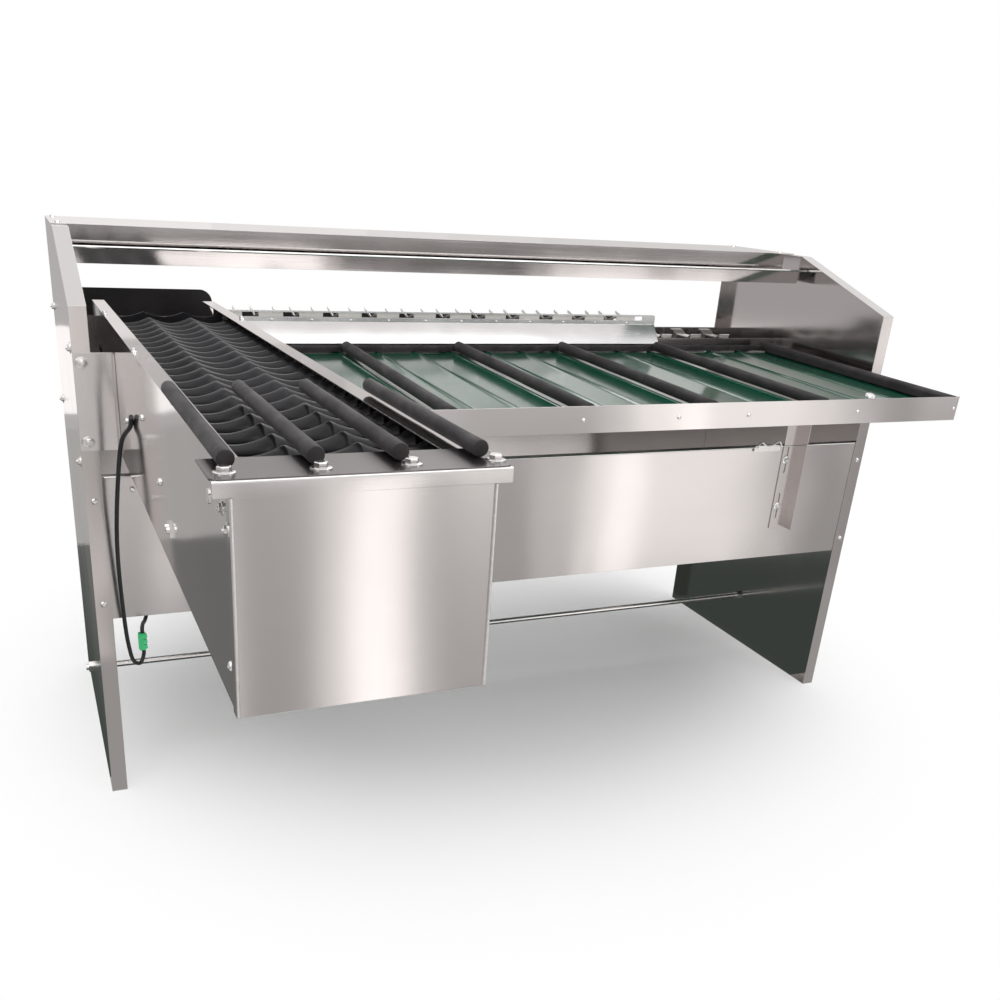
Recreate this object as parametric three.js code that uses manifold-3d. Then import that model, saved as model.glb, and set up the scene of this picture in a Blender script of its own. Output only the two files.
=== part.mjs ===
// Egg grading machine. A folded stainless frame carries a roller infeed that stands out to the
// front at the left, a trough with a walking beam and weigh levers along the back, and a gently
// sloped collecting tray with foam dividers. Millimetres, +X right, +Y to the back, +Z up.
// While building, X is zero at the left panel's outer face and Y is zero at the frame's front;
// the finished group is shifted so that the origin is below the middle of the whole machine.

import * as THREE from "three";
import { mergeVertices } from "three/addons/utils/BufferGeometryUtils.js";
import Module from "manifold-3d";

const wasm = await Module();
wasm.setup();

// Driving sizes of the whole machine.
const machine_width = 1700;
const machine_height = 1000;
const frame_depth = 600;
const infeed_reach = 998;
const infeed_width = 231;
const lane_count = 3;
const station_pitch = 85;
const roller_pitch = 50.8;

// Sheet, gaps and running fits.
const sheet = 1.5;
const gap = 0.3;
const running_clearance = 0.1;
const weld_bite = 0.5;
const cut_margin = 2;
const merge_tolerance = 0.0001;
const round_segments = 24;
const foam_segments = 16;
const bar_segments = 12;
const trunnion_segments = 12;
const roller_segments = 8;

// Side panels with a flange turned inwards all round.
const flange_width = 28;
const panel_top = machine_height - sheet - gap;
const panel_front_drop = 100;
const panel_front_top = machine_height - panel_front_drop;
const panel_slope_run = 300;

// Tie rod low down between the panels.
const tie_rod_y = 338;
const tie_rod_z = 109;
const tie_rod_radius = 6.5;
const tie_hole_clearance = 0.5;
const nut_radius = 12;
const nut_thickness = 9;
const tie_rod_tail = 5;

// Top shelf: plate, web, gutter and front lip folded from one sheet.
const shelf_drop = 63;
const gutter_bottom_z = machine_height - shelf_drop;
const gutter_depth = 62;
const gutter_lip_height = 30;
const shelf_rear_fold = 25;

// Trough along the back that carries the walking beam and the weigh levers.
const shelf_over_beam = 197;
const beam_rest_top = machine_height - shelf_over_beam;
const trough_rear_space = 80.5;
const trough_depth = 133;
const trough_front_y = frame_depth - trough_rear_space - trough_depth;
const trough_below_beam = 131;
const trough_bottom = beam_rest_top - trough_below_beam;
const trough_front_rise = 31;
const trough_front_top = beam_rest_top + trough_front_rise;
const trough_end_drop = 8;
const trough_low_front_top = beam_rest_top - trough_end_drop;
const trough_rear_top = beam_rest_top;
const web_before_trough = 22.5;
const shelf_web_y = trough_front_y - web_before_trough;
const gutter_front_y = shelf_web_y - gutter_depth;

// Front apron and rear panel below the trough.
const apron_below_trough = 50;
const apron_height = 262;
const apron_top = trough_bottom - apron_below_trough;
const apron_bottom = apron_top - apron_height;
const rear_panel_drop = 43;
const rear_panel_top = trough_rear_top - rear_panel_drop;
const apron_return = 15;
const lever_rib_thickness = 3;
const lever_rib_reach = 22;
const lever_rib_height = 40;

// Infeed box, built level and then turned about the bottom edge of its front cover.
const infeed_left_x = 63;
const infeed_below_beam = 120;
const infeed_front_bottom = beam_rest_top - infeed_below_beam;
const infeed_slope = THREE.MathUtils.degToRad(-1.2);
const ledge_top = 212;
const ledge_sheet = 2;
const ledge_overhang = 16;
const ledge_depth = 69;
const ledge_lip = 15;
const wall_flange = 22;
const wall_foot = 20;
const cover_return = 14;

// Feed rollers: spools with one hollow per lane.
const roller_radius = 19;
const roller_waist_radius = 9.5;
const roller_first_y = 98;
const rotor_zone = 200;
const roller_count = 1 + Math.floor((infeed_reach + trough_front_y - roller_first_y - rotor_zone)
  / roller_pitch);
const roller_height = 183;
const roller_end_clearance = 5;
const waist_points = 3;
const roller_pin_radius = 4;
const bearer_thickness = 4;
const bearer_height = 12;
const bearer_end_margin = 14;

// Transfer rotor behind the last roller.
const paddle_count = 8;
const paddle_thickness = 3;
const paddle_hollow_depth = 9;
const rotor_hub_radius = 18;
const rotor_shaft_radius = 8;
const rotor_shaft_tail = 2;
const rotor_gap = 6;
const hollow_points = 3;

// Foam guide rails between the lanes where the eggs are laid on.
const rail_radius = 8;
const rail_start_y = 31;
const rail_end_y = 358;
const rail_edge_inset = 2.5;

// Bracket plate that bolts the infeed to the left panel.
const bracket_sheet = 2;
const bracket_below_infeed = 15;
const bracket_height = 160;
const bracket_bottom = infeed_front_bottom - bracket_below_infeed;
const bracket_top = bracket_bottom + bracket_height;
const bracket_return = 25;
const bracket_slot_x = 13;
const bracket_slot_radius = 5;
const bracket_slot_length = 22;
const bracket_slot_inset = 15.5;
const bracket_slot_zs = [bracket_bottom + bracket_slot_inset, bracket_top - bracket_slot_inset];

// End guard behind the transfer rotor.
const guard_left_x = 50;
const guard_width = 263;
const guard_below_beam = 43;
const guard_height = 112;
const guard_bottom = beam_rest_top - guard_below_beam;
const guard_top = guard_bottom + guard_height;
const guard_sheet = 2.5;
const guard_corner_radius = 25;

// Walking beam with saddle carriers.
const beam_throw = station_pitch / 2;
const carrier_width = 29;
const carrier_inset = 13.5;
const carrier_front_y = trough_front_y + carrier_inset;
const carrier_length = 80;
const carrier_lead = 14;
const carrier_dip = 9;
const carrier_thickness = 2.5;
const carrier_skirt = 14;
const carrier_first = -3;
const stem_width = 8;
const beam_bar_thickness = 8;
const beam_bar_height = 24;
const beam_bar_drop = 91;
const beam_bar_bottom = beam_rest_top - beam_bar_drop;
const beam_gap = 4;
const beam_end_margin = 28;

// Cranks that carry the beam round.
const pan_first_x = 326;
const crank_end_space = 200;
const crank_first = 6;
const crank_last = Math.floor((machine_width - pan_first_x - crank_end_space) / station_pitch);
const crank_stations = [crank_first, crank_last];
const carrier_last = crank_last + 1;
const graded_count = Math.floor(crank_last / lane_count);
const crank_thickness = 8;
const crank_half_width = 11;
const crank_gap = 3;
const crank_pin_radius = 5;
const crank_shaft_radius = 8;
const crank_shaft_tail = 10;
const arc_segments = 5;

// Weigh levers: three forked pans on one rocking bar for each grade.
const pan_width = 51;
const pan_top = beam_rest_top + beam_throw;
const pan_inset = 5;
const pan_front_y = trough_front_y + pan_inset;
const pan_sheet = 1.5;
const pan_plate_height = 20;
const prong_thickness = 3;
const prong_depth = 5;
const prong_dip = 13.5;
const lever_arm_width = 10;
const lever_arm_depth = 5;
const rocking_bar_inset = 11.5;
const rocking_bar_rise = 26;
const rocking_bar_y = trough_front_y + rocking_bar_inset;
const rocking_bar_z = trough_bottom + rocking_bar_rise;
const rocking_bar_half = 6;
const trunnion_radius = 5;
const lever_end_clearance = 1;
const tail_half = 6;
const tail_length = 102;
const tail_end_y = rocking_bar_y + tail_length;
const counterweight_radius = 10;
const counterweight_length = 44;

// Chute with the comb slot in front of the pans.
const chute_end_margin = 8;
const chute_end_x = pan_first_x + graded_count * lane_count * station_pitch - chute_end_margin;
const chute_run = 30.5;
const chute_foot_y = trough_front_y - chute_run;
const chute_foot_drop = 17;
const chute_foot_z = beam_rest_top - chute_foot_drop;
const chute_rise = 40;
const chute_bend_z = chute_foot_z + chute_rise;
const comb_over_pans = 3;
const comb_top = pan_top + comb_over_pans;
const comb_rail = 3.5;
const comb_slot_height = 9;
const comb_end_width = 35;
const comb_corner_radius = 6;
const chute_left_clearance = 3;

// Collecting tray, built level and then turned about the bottom of its front lip.
const tray_reach = 260;
const tray_below_beam = 70;
const tray_front_bottom = beam_rest_top - tray_below_beam;
const tray_slope = THREE.MathUtils.degToRad(1);
const tray_left_clearance = 4;
const tray_right_space = 40;
const tray_right_x = machine_width - tray_right_space;
const lip_height = 47;
const rim_side_height = 40;
const lip_return = 12;
const floor_peak = 28;
const floor_sag = 5;
const floor_sheet = 2;
const lane_steps = 4;
const shelf_reach = 12;
const rear_foam_y = chute_foot_y;
const rear_foam_depth = 12;
const rear_foam_height = 12.5;
const side_foam_width = 21;
const side_foam_height = 20;
const divider_radius = 11;
const divider_offset = 14;
const lane_line_offset = 218;

// Slotted angle that props the tray off the apron.
const prop_from_right = 193;
const prop_left_x = tray_right_x - prop_from_right;
const prop_width = 45;
const prop_over_apron_edge = 70;
const prop_bottom = apron_bottom + prop_over_apron_edge;
const prop_depth = 25;
const prop_sheet = 2;
const prop_slot_inset = 11;
const prop_slot_radius = 4;
const prop_slot_length = 60;
const prop_slot_rise = 53;
const prop_slot_spacing = 107;
const prop_slot_zs = [prop_bottom + prop_slot_rise, prop_bottom + prop_slot_rise + prop_slot_spacing];

// Geared motor under the trough.
const gearbox_width = 100;
const gearbox_depth = 100;
const gearbox_height = 82;
const gearbox_inset = 53.5;
const gearbox_front_y = trough_front_y + gearbox_inset;
const motor_radius = 40;
const motor_length = 180;
const motor_overlap = 6;

// Leads and their plug.
const lead_radius = 3.5;
const lead_segments = 4;
const infeed_lead_steps = 26;
const body_lead_steps = 14;
const plug_width = 15;
const plug_depth = 11;
const plug_height = 32;
const plug_x = 74.4;
const plug_y = -24;
const plug_bottom = 306;
const lead_straight = 9;
const lead_wall_x = infeed_left_x - gap - lead_radius;
const infeed_lead_points = [
  [lead_wall_x, -268, 783],
  [lead_wall_x, -247, 765],
  [50, -200, 733.5],
  [42.9, -160, 661],
  [37, -120, 550],
  [40, -80, 428],
  [47, -58, 330],
  [56, -40, 290],
  [67, -30, 282],
];
const body_lead_points = [
  [77, -14, 351],
  [82, 2, 350],
  [87, 20, 352],
  [91, 32, 368],
  [92, 32, 400],
  [92, 32, 440],
];

// Materials.
function finish(name, color, metalness, roughness) {
  const material = new THREE.MeshStandardMaterial({ color, metalness, roughness });
  material.name = name;
  return material;
}
const stainless = finish("stainless", 0xb9b6b1, 1, 0.32);
const ledge_grey = finish("ledge_grey", 0x5b5c60, 1, 0.4);
const black_foam = finish("black_foam", 0x1b1a1c, 0, 0.9);
const black_plastic = finish("black_plastic", 0x1d1d20, 0, 0.45);
const green_sheet = finish("green_sheet", 0x1f6b4c, 0, 0.2);
const plug_green = finish("plug_green", 0x2fa866, 0, 0.4);
const lead_black = finish("lead_black", 0x111113, 0, 0.5);
const motor_grey = finish("motor_grey", 0x6c7074, 0.3, 0.5);

// Boxes, bars and sheets as closed geometries.
function box(x0, x1, y0, y1, z0, z1) {
  const geometry = new THREE.BoxGeometry(x1 - x0, y1 - y0, z1 - z0);
  return geometry.translate((x0 + x1) / 2, (y0 + y1) / 2, (z0 + z1) / 2);
}

function rod_x(radius, x0, x1, y, z, segments) {
  const geometry = new THREE.CylinderGeometry(radius, radius, x1 - x0, segments);
  return geometry.rotateZ(-Math.PI / 2).translate((x0 + x1) / 2, y, z);
}

function rod_y(radius, y0, y1, x, z, segments) {
  const geometry = new THREE.CylinderGeometry(radius, radius, y1 - y0, segments);
  return geometry.translate(x, (y0 + y1) / 2, z);
}

function shape_of(points) {
  return new THREE.Shape(points.map(([a, b]) => new THREE.Vector2(a, b)));
}

function extrude(shape, depth) {
  return new THREE.ExtrudeGeometry(shape, {
    depth,
    bevelEnabled: false,
    curveSegments: arc_segments,
  });
}

// A prism along X from an outline in Y and Z.
function prism_x(shape, x0, x1) {
  const turn = new THREE.Matrix4().makeBasis(
    new THREE.Vector3(0, 1, 0),
    new THREE.Vector3(0, 0, 1),
    new THREE.Vector3(1, 0, 0),
  );
  return extrude(shape, x1 - x0).applyMatrix4(turn).translate(x0, 0, 0);
}

// A prism along Y from an outline in X and Z.
function prism_y(shape, y0, y1) {
  const turn = new THREE.Matrix4().makeBasis(
    new THREE.Vector3(1, 0, 0),
    new THREE.Vector3(0, 0, 1),
    new THREE.Vector3(0, -1, 0),
  );
  return extrude(shape, y1 - y0).applyMatrix4(turn).translate(0, y1, 0);
}

// A prism along Z from an outline in X and Y.
function prism_z(shape, z0, z1) {
  return extrude(shape, z1 - z0).translate(0, 0, z0);
}

function left_normal(from, to) {
  const length = Math.hypot(to[0] - from[0], to[1] - from[1]);
  return [-(to[1] - from[1]) / length, (to[0] - from[0]) / length];
}

// Each corner moved sideways, to the left of the way along, by the same sheet thickness.
function offset_corner(before, corner, after, distance) {
  const first = left_normal(before ?? corner, before ? corner : after);
  const second = left_normal(after ? corner : before, after ?? corner);
  const scale = distance / (1 + first[0] * second[0] + first[1] * second[1]);
  return [corner[0] + (first[0] + second[0]) * scale, corner[1] + (first[1] + second[1]) * scale];
}

// The outline of a sheet of one thickness folded along an open line.
function folded(path, thickness) {
  const inner = path.map((corner, i) => offset_corner(path[i - 1], corner, path[i + 1], thickness));
  return shape_of([...path, ...inner.reverse()]);
}

// A closed outline moved inwards; the outline runs counter-clockwise.
function inset(path, distance) {
  const count = path.length;
  return path.map((corner, i) =>
    offset_corner(path[(i + count - 1) % count], corner, path[(i + 1) % count], distance));
}

// A slot or link outline: two half circles joined, standing along the second axis.
function stadium(a, b0, b1, radius) {
  const shape = new THREE.Shape();
  shape.absarc(a, b1, radius, 0, Math.PI, false);
  shape.absarc(a, b0, radius, Math.PI, 2 * Math.PI, false);
  shape.closePath();
  return shape;
}

// Joining and cutting of closed geometries.
function solid(geometry) {
  const bare = new THREE.BufferGeometry();
  bare.setAttribute("position", geometry.getAttribute("position").clone());
  if (geometry.index) {
    bare.setIndex(geometry.index.clone());
  }
  const merged = mergeVertices(bare, merge_tolerance);
  return new wasm.Manifold(new wasm.Mesh({
    numProp: 3,
    vertProperties: new Float32Array(merged.getAttribute("position").array),
    triVerts: new Uint32Array(merged.index.array),
  }));
}

function geometry_of(manifold) {
  const mesh = manifold.getMesh();
  const geometry = new THREE.BufferGeometry();
  geometry.setAttribute("position", new THREE.BufferAttribute(mesh.vertProperties, 3));
  geometry.setIndex(new THREE.BufferAttribute(mesh.triVerts, 1));
  geometry.computeVertexNormals();
  return geometry;
}

function joined(pieces, cuts = []) {
  let result = solid(pieces[0]);
  for (const piece of pieces.slice(1)) {
    result = result.add(solid(piece));
  }
  for (const cut of cuts) {
    result = result.subtract(solid(cut));
  }
  return geometry_of(result);
}

// The group, its named meshes and the shift of the origin.
const root = new THREE.Group();
root.name = "egg_grading_machine";
const origin_x = machine_width / 2;
const origin_y = (frame_depth - infeed_reach) / 2;

function add(name, geometry, material) {
  const mesh = new THREE.Mesh(geometry.translate(-origin_x, -origin_y, 0), material);
  mesh.name = name;
  root.add(mesh);
}

function add_infeed(name, geometry, material) {
  geometry.rotateX(infeed_slope).translate(0, -infeed_reach, infeed_front_bottom);
  add(name, geometry, material);
}

function add_tray(name, geometry, material) {
  geometry.rotateX(tray_slope).translate(0, -tray_reach, tray_front_bottom);
  add(name, geometry, material);
}

// Side panels: a shallow pan of sheet, open to the inside, drilled for the tie rod.
const panel_outline = [
  [0, 0],
  [frame_depth, 0],
  [frame_depth, panel_top],
  [panel_slope_run, panel_top],
  [0, panel_front_top],
];
const tie_hole_radius = tie_rod_radius + tie_hole_clearance;
function side_panel(x0, x1, pocket_x0, pocket_x1) {
  const pan = prism_x(shape_of(panel_outline), x0, x1);
  const pocket = prism_x(shape_of(inset(panel_outline, sheet)), pocket_x0, pocket_x1);
  const hole = rod_x(tie_hole_radius, x0 - sheet, x1 + sheet, tie_rod_y, tie_rod_z, bar_segments);
  return joined([pan], [pocket, hole]);
}
const right_flange_x = machine_width - flange_width;
add("side_panel_left", side_panel(0, flange_width, sheet, flange_width + sheet), stainless);
add("side_panel_right",
  side_panel(right_flange_x, machine_width, right_flange_x - sheet, machine_width - sheet), stainless);

// Top shelf.
const inner_left_x = flange_width + gap;
const inner_right_x = machine_width - flange_width - gap;
const gutter_path = [
  [shelf_web_y + sheet, machine_height],
  [shelf_web_y + sheet, gutter_bottom_z],
  [gutter_front_y, gutter_bottom_z],
  [gutter_front_y, gutter_bottom_z + gutter_lip_height],
];
add("top_shelf", joined([
  box(0, machine_width, shelf_web_y, frame_depth, panel_top + gap, machine_height),
  prism_x(folded([...gutter_path].reverse(), sheet), inner_left_x, inner_right_x),
  box(inner_left_x, inner_right_x, frame_depth - sheet, frame_depth,
    machine_height - shelf_rear_fold, machine_height),
]), stainless);

// Front apron and rear panel behind the flanges.
const web_left_x = sheet + gap;
const web_right_x = machine_width - sheet - gap;
const apron_y = sheet + gap;
add("front_apron", prism_x(folded([
  [apron_y + apron_return, apron_top],
  [apron_y, apron_top],
  [apron_y, apron_bottom],
  [apron_y + apron_return, apron_bottom],
], sheet), web_left_x, web_right_x), stainless);
const rear_y = frame_depth - sheet - gap;
add("rear_panel", prism_x(folded([
  [rear_y - apron_return, apron_bottom],
  [rear_y, apron_bottom],
  [rear_y, rear_panel_top],
  [rear_y - apron_return, rear_panel_top],
], sheet), web_left_x, web_right_x), stainless);

// Tie rod with a nut on each side of each panel.
const rod_tail_reach = gap + nut_thickness + tie_rod_tail;
const nut_starts = [
  -gap - nut_thickness,
  sheet + gap,
  machine_width - sheet - gap - nut_thickness,
  machine_width + gap,
];
add("tie_rod", joined([
  rod_x(tie_rod_radius, -rod_tail_reach, machine_width + rod_tail_reach, tie_rod_y, tie_rod_z,
    bar_segments),
  ...nut_starts.map((x) => rod_x(nut_radius, x, x + nut_thickness, tie_rod_y, tie_rod_z, 6)),
]), stainless);

// Trough, with ribs for the levers' trunnions and holes for the crank shafts.
const trough_rear_y = trough_front_y + trough_depth;
const lever_span = station_pitch * lane_count;
const lever_half_length = (lever_span - station_pitch + pan_width) / 2;
const crank_centre_z = beam_bar_bottom + beam_bar_height / 2 + beam_throw;
const crank_xs = crank_stations.map((station) => pan_first_x + station * station_pitch);
const rib_xs = [];
for (let grade = 0; grade < graded_count; grade += 1) {
  const middle = pan_first_x + grade * lever_span + lever_span / 2 - station_pitch / 2;
  rib_xs.push(middle - lever_half_length - lever_end_clearance - lever_rib_thickness);
  rib_xs.push(middle + lever_half_length + lever_end_clearance);
}
const rib_pieces = rib_xs.map((x) => box(x, x + lever_rib_thickness,
  trough_front_y + weld_bite, trough_front_y + sheet + lever_rib_reach,
  trough_bottom + weld_bite, trough_bottom + lever_rib_height));
const trough_path = [
  [trough_front_y, trough_front_top],
  [trough_front_y, trough_bottom],
  [trough_rear_y, trough_bottom],
  [trough_rear_y, trough_rear_top],
];
add("beam_trough", joined([
  prism_x(folded(trough_path, sheet), web_left_x, web_right_x),
  ...rib_pieces,
], [
  box(chute_end_x, machine_width, trough_front_y - cut_margin, trough_front_y + sheet + cut_margin,
    trough_low_front_top, trough_front_top + cut_margin),
  rod_x(trunnion_radius, rib_xs[0] - cut_margin, rib_xs[rib_xs.length - 1] + lever_rib_thickness
    + cut_margin, rocking_bar_y, rocking_bar_z, trunnion_segments),
  ...crank_xs.map((x) => rod_y(crank_shaft_radius, trough_rear_y - sheet - cut_margin,
    trough_rear_y + cut_margin, x, crank_centre_z, round_segments)),
]), stainless);

// Infeed side walls: webs with a flange at the top and a foot at the bottom.
const infeed_right_x = infeed_left_x + infeed_width;
const wall_height = ledge_top - ledge_sheet - gap;
const infeed_length = infeed_reach + trough_front_y - gap + wall_height * Math.sin(infeed_slope);
const rotor_radius = paddle_count * roller_pitch / (2 * Math.PI);
const roller_last_y = roller_first_y + (roller_count - 1) * roller_pitch;
const rotor_y = roller_last_y + roller_radius + rotor_gap + rotor_radius;
const rotor_z = roller_height + roller_radius - rotor_radius;
const wall_front_y = sheet + gap;

// Bearer bar on the inside of each wall, which the rollers' pins ride on.
const bearer_top = roller_height - roller_pin_radius - gap;
function infeed_wall(path, bearer_x) {
  const wall = prism_y(folded(path, sheet), wall_front_y, infeed_length);
  const bearer = box(bearer_x, bearer_x + bearer_thickness, roller_first_y - bearer_end_margin,
    roller_last_y + bearer_end_margin, bearer_top - bearer_height, bearer_top);
  const hole = rod_x(rotor_shaft_radius, infeed_left_x - sheet, infeed_right_x + sheet, rotor_y,
    rotor_z, round_segments);
  return joined([wall, bearer], [hole]);
}
add_infeed("infeed_side_left", infeed_wall([
  [infeed_left_x + wall_flange, wall_height],
  [infeed_left_x, wall_height],
  [infeed_left_x, 0],
  [infeed_left_x + wall_foot, 0],
], infeed_left_x + sheet - weld_bite), stainless);
add_infeed("infeed_side_right", infeed_wall([
  [infeed_right_x - wall_foot, 0],
  [infeed_right_x, 0],
  [infeed_right_x, wall_height],
  [infeed_right_x - wall_flange, wall_height],
], infeed_right_x - sheet + weld_bite - bearer_thickness), stainless);

// Infeed front cover, folded back over the side walls.
const cover_left_x = infeed_left_x - gap - sheet;
const cover_right_x = infeed_right_x + gap + sheet;
add_infeed("infeed_front_cover", prism_z(folded([
  [cover_left_x, cover_return],
  [cover_left_x, 0],
  [cover_right_x, 0],
  [cover_right_x, cover_return],
], sheet), 0, wall_height), stainless);

// Ledge across the front of the infeed with its lip turned down.
const ledge_front_y = -gap - ledge_sheet;
add_infeed("infeed_ledge", prism_x(folded([
  [ledge_depth, ledge_top],
  [ledge_front_y, ledge_top],
  [ledge_front_y, ledge_top - ledge_lip],
], ledge_sheet), infeed_left_x - ledge_overhang, infeed_right_x + ledge_overhang), ledge_grey);

// Foam guide rails over the first rollers.
const rail_z = ledge_top + gap + rail_radius;
const rail_span = infeed_width - 2 * rail_edge_inset;
for (let i = 0; i <= lane_count; i += 1) {
  const x = infeed_left_x + rail_edge_inset + rail_span * i / lane_count;
  add_infeed(`guide_rail_${i + 1}`, rod_y(rail_radius, rail_start_y, rail_end_y, x, rail_z,
    foam_segments), black_foam);
}

// Feed rollers, each turned from one profile: pins at its ends and a hollow for every lane.
const roller_left_x = infeed_left_x + sheet + roller_end_clearance;
const roller_length = infeed_width - 2 * (sheet + roller_end_clearance);
const lane_width = roller_length / lane_count;
function hollow_profile(steps, depth) {
  const profile = [];
  for (let lane = 0; lane < lane_count; lane += 1) {
    for (let i = 0; i <= steps; i += 1) {
      if (i > 0 || lane === 0) {
        profile.push([lane * lane_width + lane_width * i / (steps + 1), depth * Math.sin(
          Math.PI * i / (steps + 1))]);
      }
      if (i === 0 && lane > 0) {
        profile.push([lane * lane_width, 0]);
      }
    }
  }
  profile.push([roller_length, 0]);
  return profile;
}
function roller_geometry() {
  const hollow = hollow_profile(waist_points, roller_radius - roller_waist_radius);
  const pin_reach = roller_end_clearance - gap;
  const points = [
    new THREE.Vector2(0, -pin_reach),
    new THREE.Vector2(roller_pin_radius, -pin_reach),
    new THREE.Vector2(roller_pin_radius, 0),
    ...hollow.map(([x, dip]) => new THREE.Vector2(roller_radius - dip, x)),
    new THREE.Vector2(roller_pin_radius, roller_length),
    new THREE.Vector2(roller_pin_radius, roller_length + pin_reach),
    new THREE.Vector2(0, roller_length + pin_reach),
  ];
  return new THREE.LatheGeometry(points, roller_segments).rotateZ(-Math.PI / 2);
}
for (let i = 0; i < roller_count; i += 1) {
  const geometry = roller_geometry().translate(roller_left_x, roller_first_y + i * roller_pitch,
    roller_height);
  add_infeed(`feed_roller_${String(i + 1).padStart(2, "0")}`, geometry, black_plastic);
}

// Transfer rotor: paddles with the same hollows on a hub and shaft.
function paddle(angle) {
  const edge = hollow_profile(hollow_points, paddle_hollow_depth);
  const outline = [
    [0, 0],
    ...edge.map(([x, dip]) => [x, rotor_radius - dip]),
    [roller_length, 0],
  ];
  const geometry = prism_y(shape_of(outline), -paddle_thickness / 2, paddle_thickness / 2);
  return geometry.rotateX(angle).translate(roller_left_x, rotor_y, rotor_z);
}
const paddles = [];
for (let i = 0; i < paddle_count; i += 1) {
  paddles.push(paddle(2 * Math.PI * i / paddle_count));
}
const rotor_journal_radius = rotor_shaft_radius - running_clearance;
add_infeed("transfer_rotor", joined([
  rod_x(rotor_hub_radius, roller_left_x, roller_left_x + roller_length, rotor_y, rotor_z,
    bar_segments),
  rod_x(rotor_journal_radius, infeed_left_x - rotor_shaft_tail, infeed_right_x + rotor_shaft_tail,
    rotor_y, rotor_z, round_segments),
  ...paddles,
]), black_plastic);

// Bracket plate in front of the left flange, folded forward along the infeed's wall.
const bracket_outline = folded([
  [infeed_left_x - gap, -gap - bracket_return],
  [infeed_left_x - gap, -gap],
  [0, -gap],
], bracket_sheet);
add("infeed_bracket", joined([prism_z(bracket_outline, bracket_bottom, bracket_top)],
  bracket_slot_zs.map((z) => {
    const slot = stadium(0, -bracket_slot_length / 2 + bracket_slot_radius,
      bracket_slot_length / 2 - bracket_slot_radius, bracket_slot_radius);
    return prism_y(slot, -gap - bracket_sheet - cut_margin, cut_margin).rotateY(Math.PI / 2)
      .translate(bracket_slot_x, 0, z);
  })), stainless);

// End guard with a rounded upper corner, in front of the trough's rear wall.
const guard_shape = new THREE.Shape();
const guard_right_x = guard_left_x + guard_width;
guard_shape.moveTo(guard_left_x, guard_bottom);
guard_shape.lineTo(guard_right_x, guard_bottom);
guard_shape.lineTo(guard_right_x, guard_top - guard_corner_radius);
guard_shape.absarc(guard_right_x - guard_corner_radius, guard_top - guard_corner_radius,
  guard_corner_radius, 0, Math.PI / 2, false);
guard_shape.lineTo(guard_left_x, guard_top);
guard_shape.closePath();
const guard_rear_y = trough_rear_y - sheet - gap;
add("end_guard", prism_y(guard_shape, guard_rear_y - guard_sheet, guard_rear_y), black_plastic);

// Walking beam: a bar on edge with a stem and a saddle at every second half pitch.
const carrier_rear_y = carrier_front_y + carrier_length;
const bar_front_y = carrier_rear_y + beam_gap;
const bar_rear_y = bar_front_y + beam_bar_thickness;
const carrier_low_z = beam_rest_top - carrier_dip;
const saddle_path = [
  [bar_rear_y, beam_rest_top],
  [carrier_rear_y, beam_rest_top],
  [carrier_rear_y - carrier_lead, carrier_low_z],
  [carrier_front_y + carrier_lead, carrier_low_z],
  [carrier_front_y, beam_rest_top],
];
const beam_pieces = [];
const carrier_xs = [];
for (let station = carrier_first; station <= carrier_last; station += 1) {
  carrier_xs.push(pan_first_x + (station + 0.5) * station_pitch);
}
const beam_left_x = carrier_xs[0] - beam_end_margin;
const beam_right_x = carrier_xs[carrier_xs.length - 1] + beam_end_margin;
beam_pieces.push(box(beam_left_x, beam_right_x, bar_front_y, bar_rear_y, beam_bar_bottom,
  beam_bar_bottom + beam_bar_height));
for (const x of carrier_xs) {
  beam_pieces.push(prism_x(folded(saddle_path, carrier_thickness), x - carrier_width / 2,
    x + carrier_width / 2));
  beam_pieces.push(box(x - carrier_width / 2, x + carrier_width / 2, carrier_front_y
    + weld_bite, carrier_front_y + weld_bite + carrier_thickness, beam_rest_top - carrier_skirt,
  beam_rest_top - carrier_thickness));
  beam_pieces.push(box(x - stem_width / 2, x + stem_width / 2, bar_front_y, bar_rear_y,
    beam_bar_bottom + beam_bar_height - weld_bite, beam_rest_top - weld_bite));
}
const crank_pin_z = crank_centre_z - beam_throw;
add("walking_beam", joined(beam_pieces, crank_xs.map((x) => rod_y(crank_pin_radius,
  bar_front_y - cut_margin, bar_rear_y + cut_margin, x, crank_pin_z, round_segments))), stainless);

// Cranks: an arm with a pin into the bar and a shaft through the trough's rear wall.
const crank_front_y = bar_rear_y + crank_gap;
crank_xs.forEach((x, i) => {
  const arm = prism_y(stadium(x, crank_pin_z, crank_centre_z, crank_half_width), crank_front_y,
    crank_front_y + crank_thickness);
  add(`beam_crank_${i + 1}`, joined([
    arm,
    rod_y(crank_pin_radius - running_clearance, bar_front_y, crank_front_y + weld_bite, x,
      crank_pin_z, round_segments),
    rod_y(crank_shaft_radius - running_clearance, crank_front_y + crank_thickness - weld_bite,
      trough_rear_y + crank_shaft_tail, x, crank_centre_z, round_segments),
  ]), stainless);
});

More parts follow.
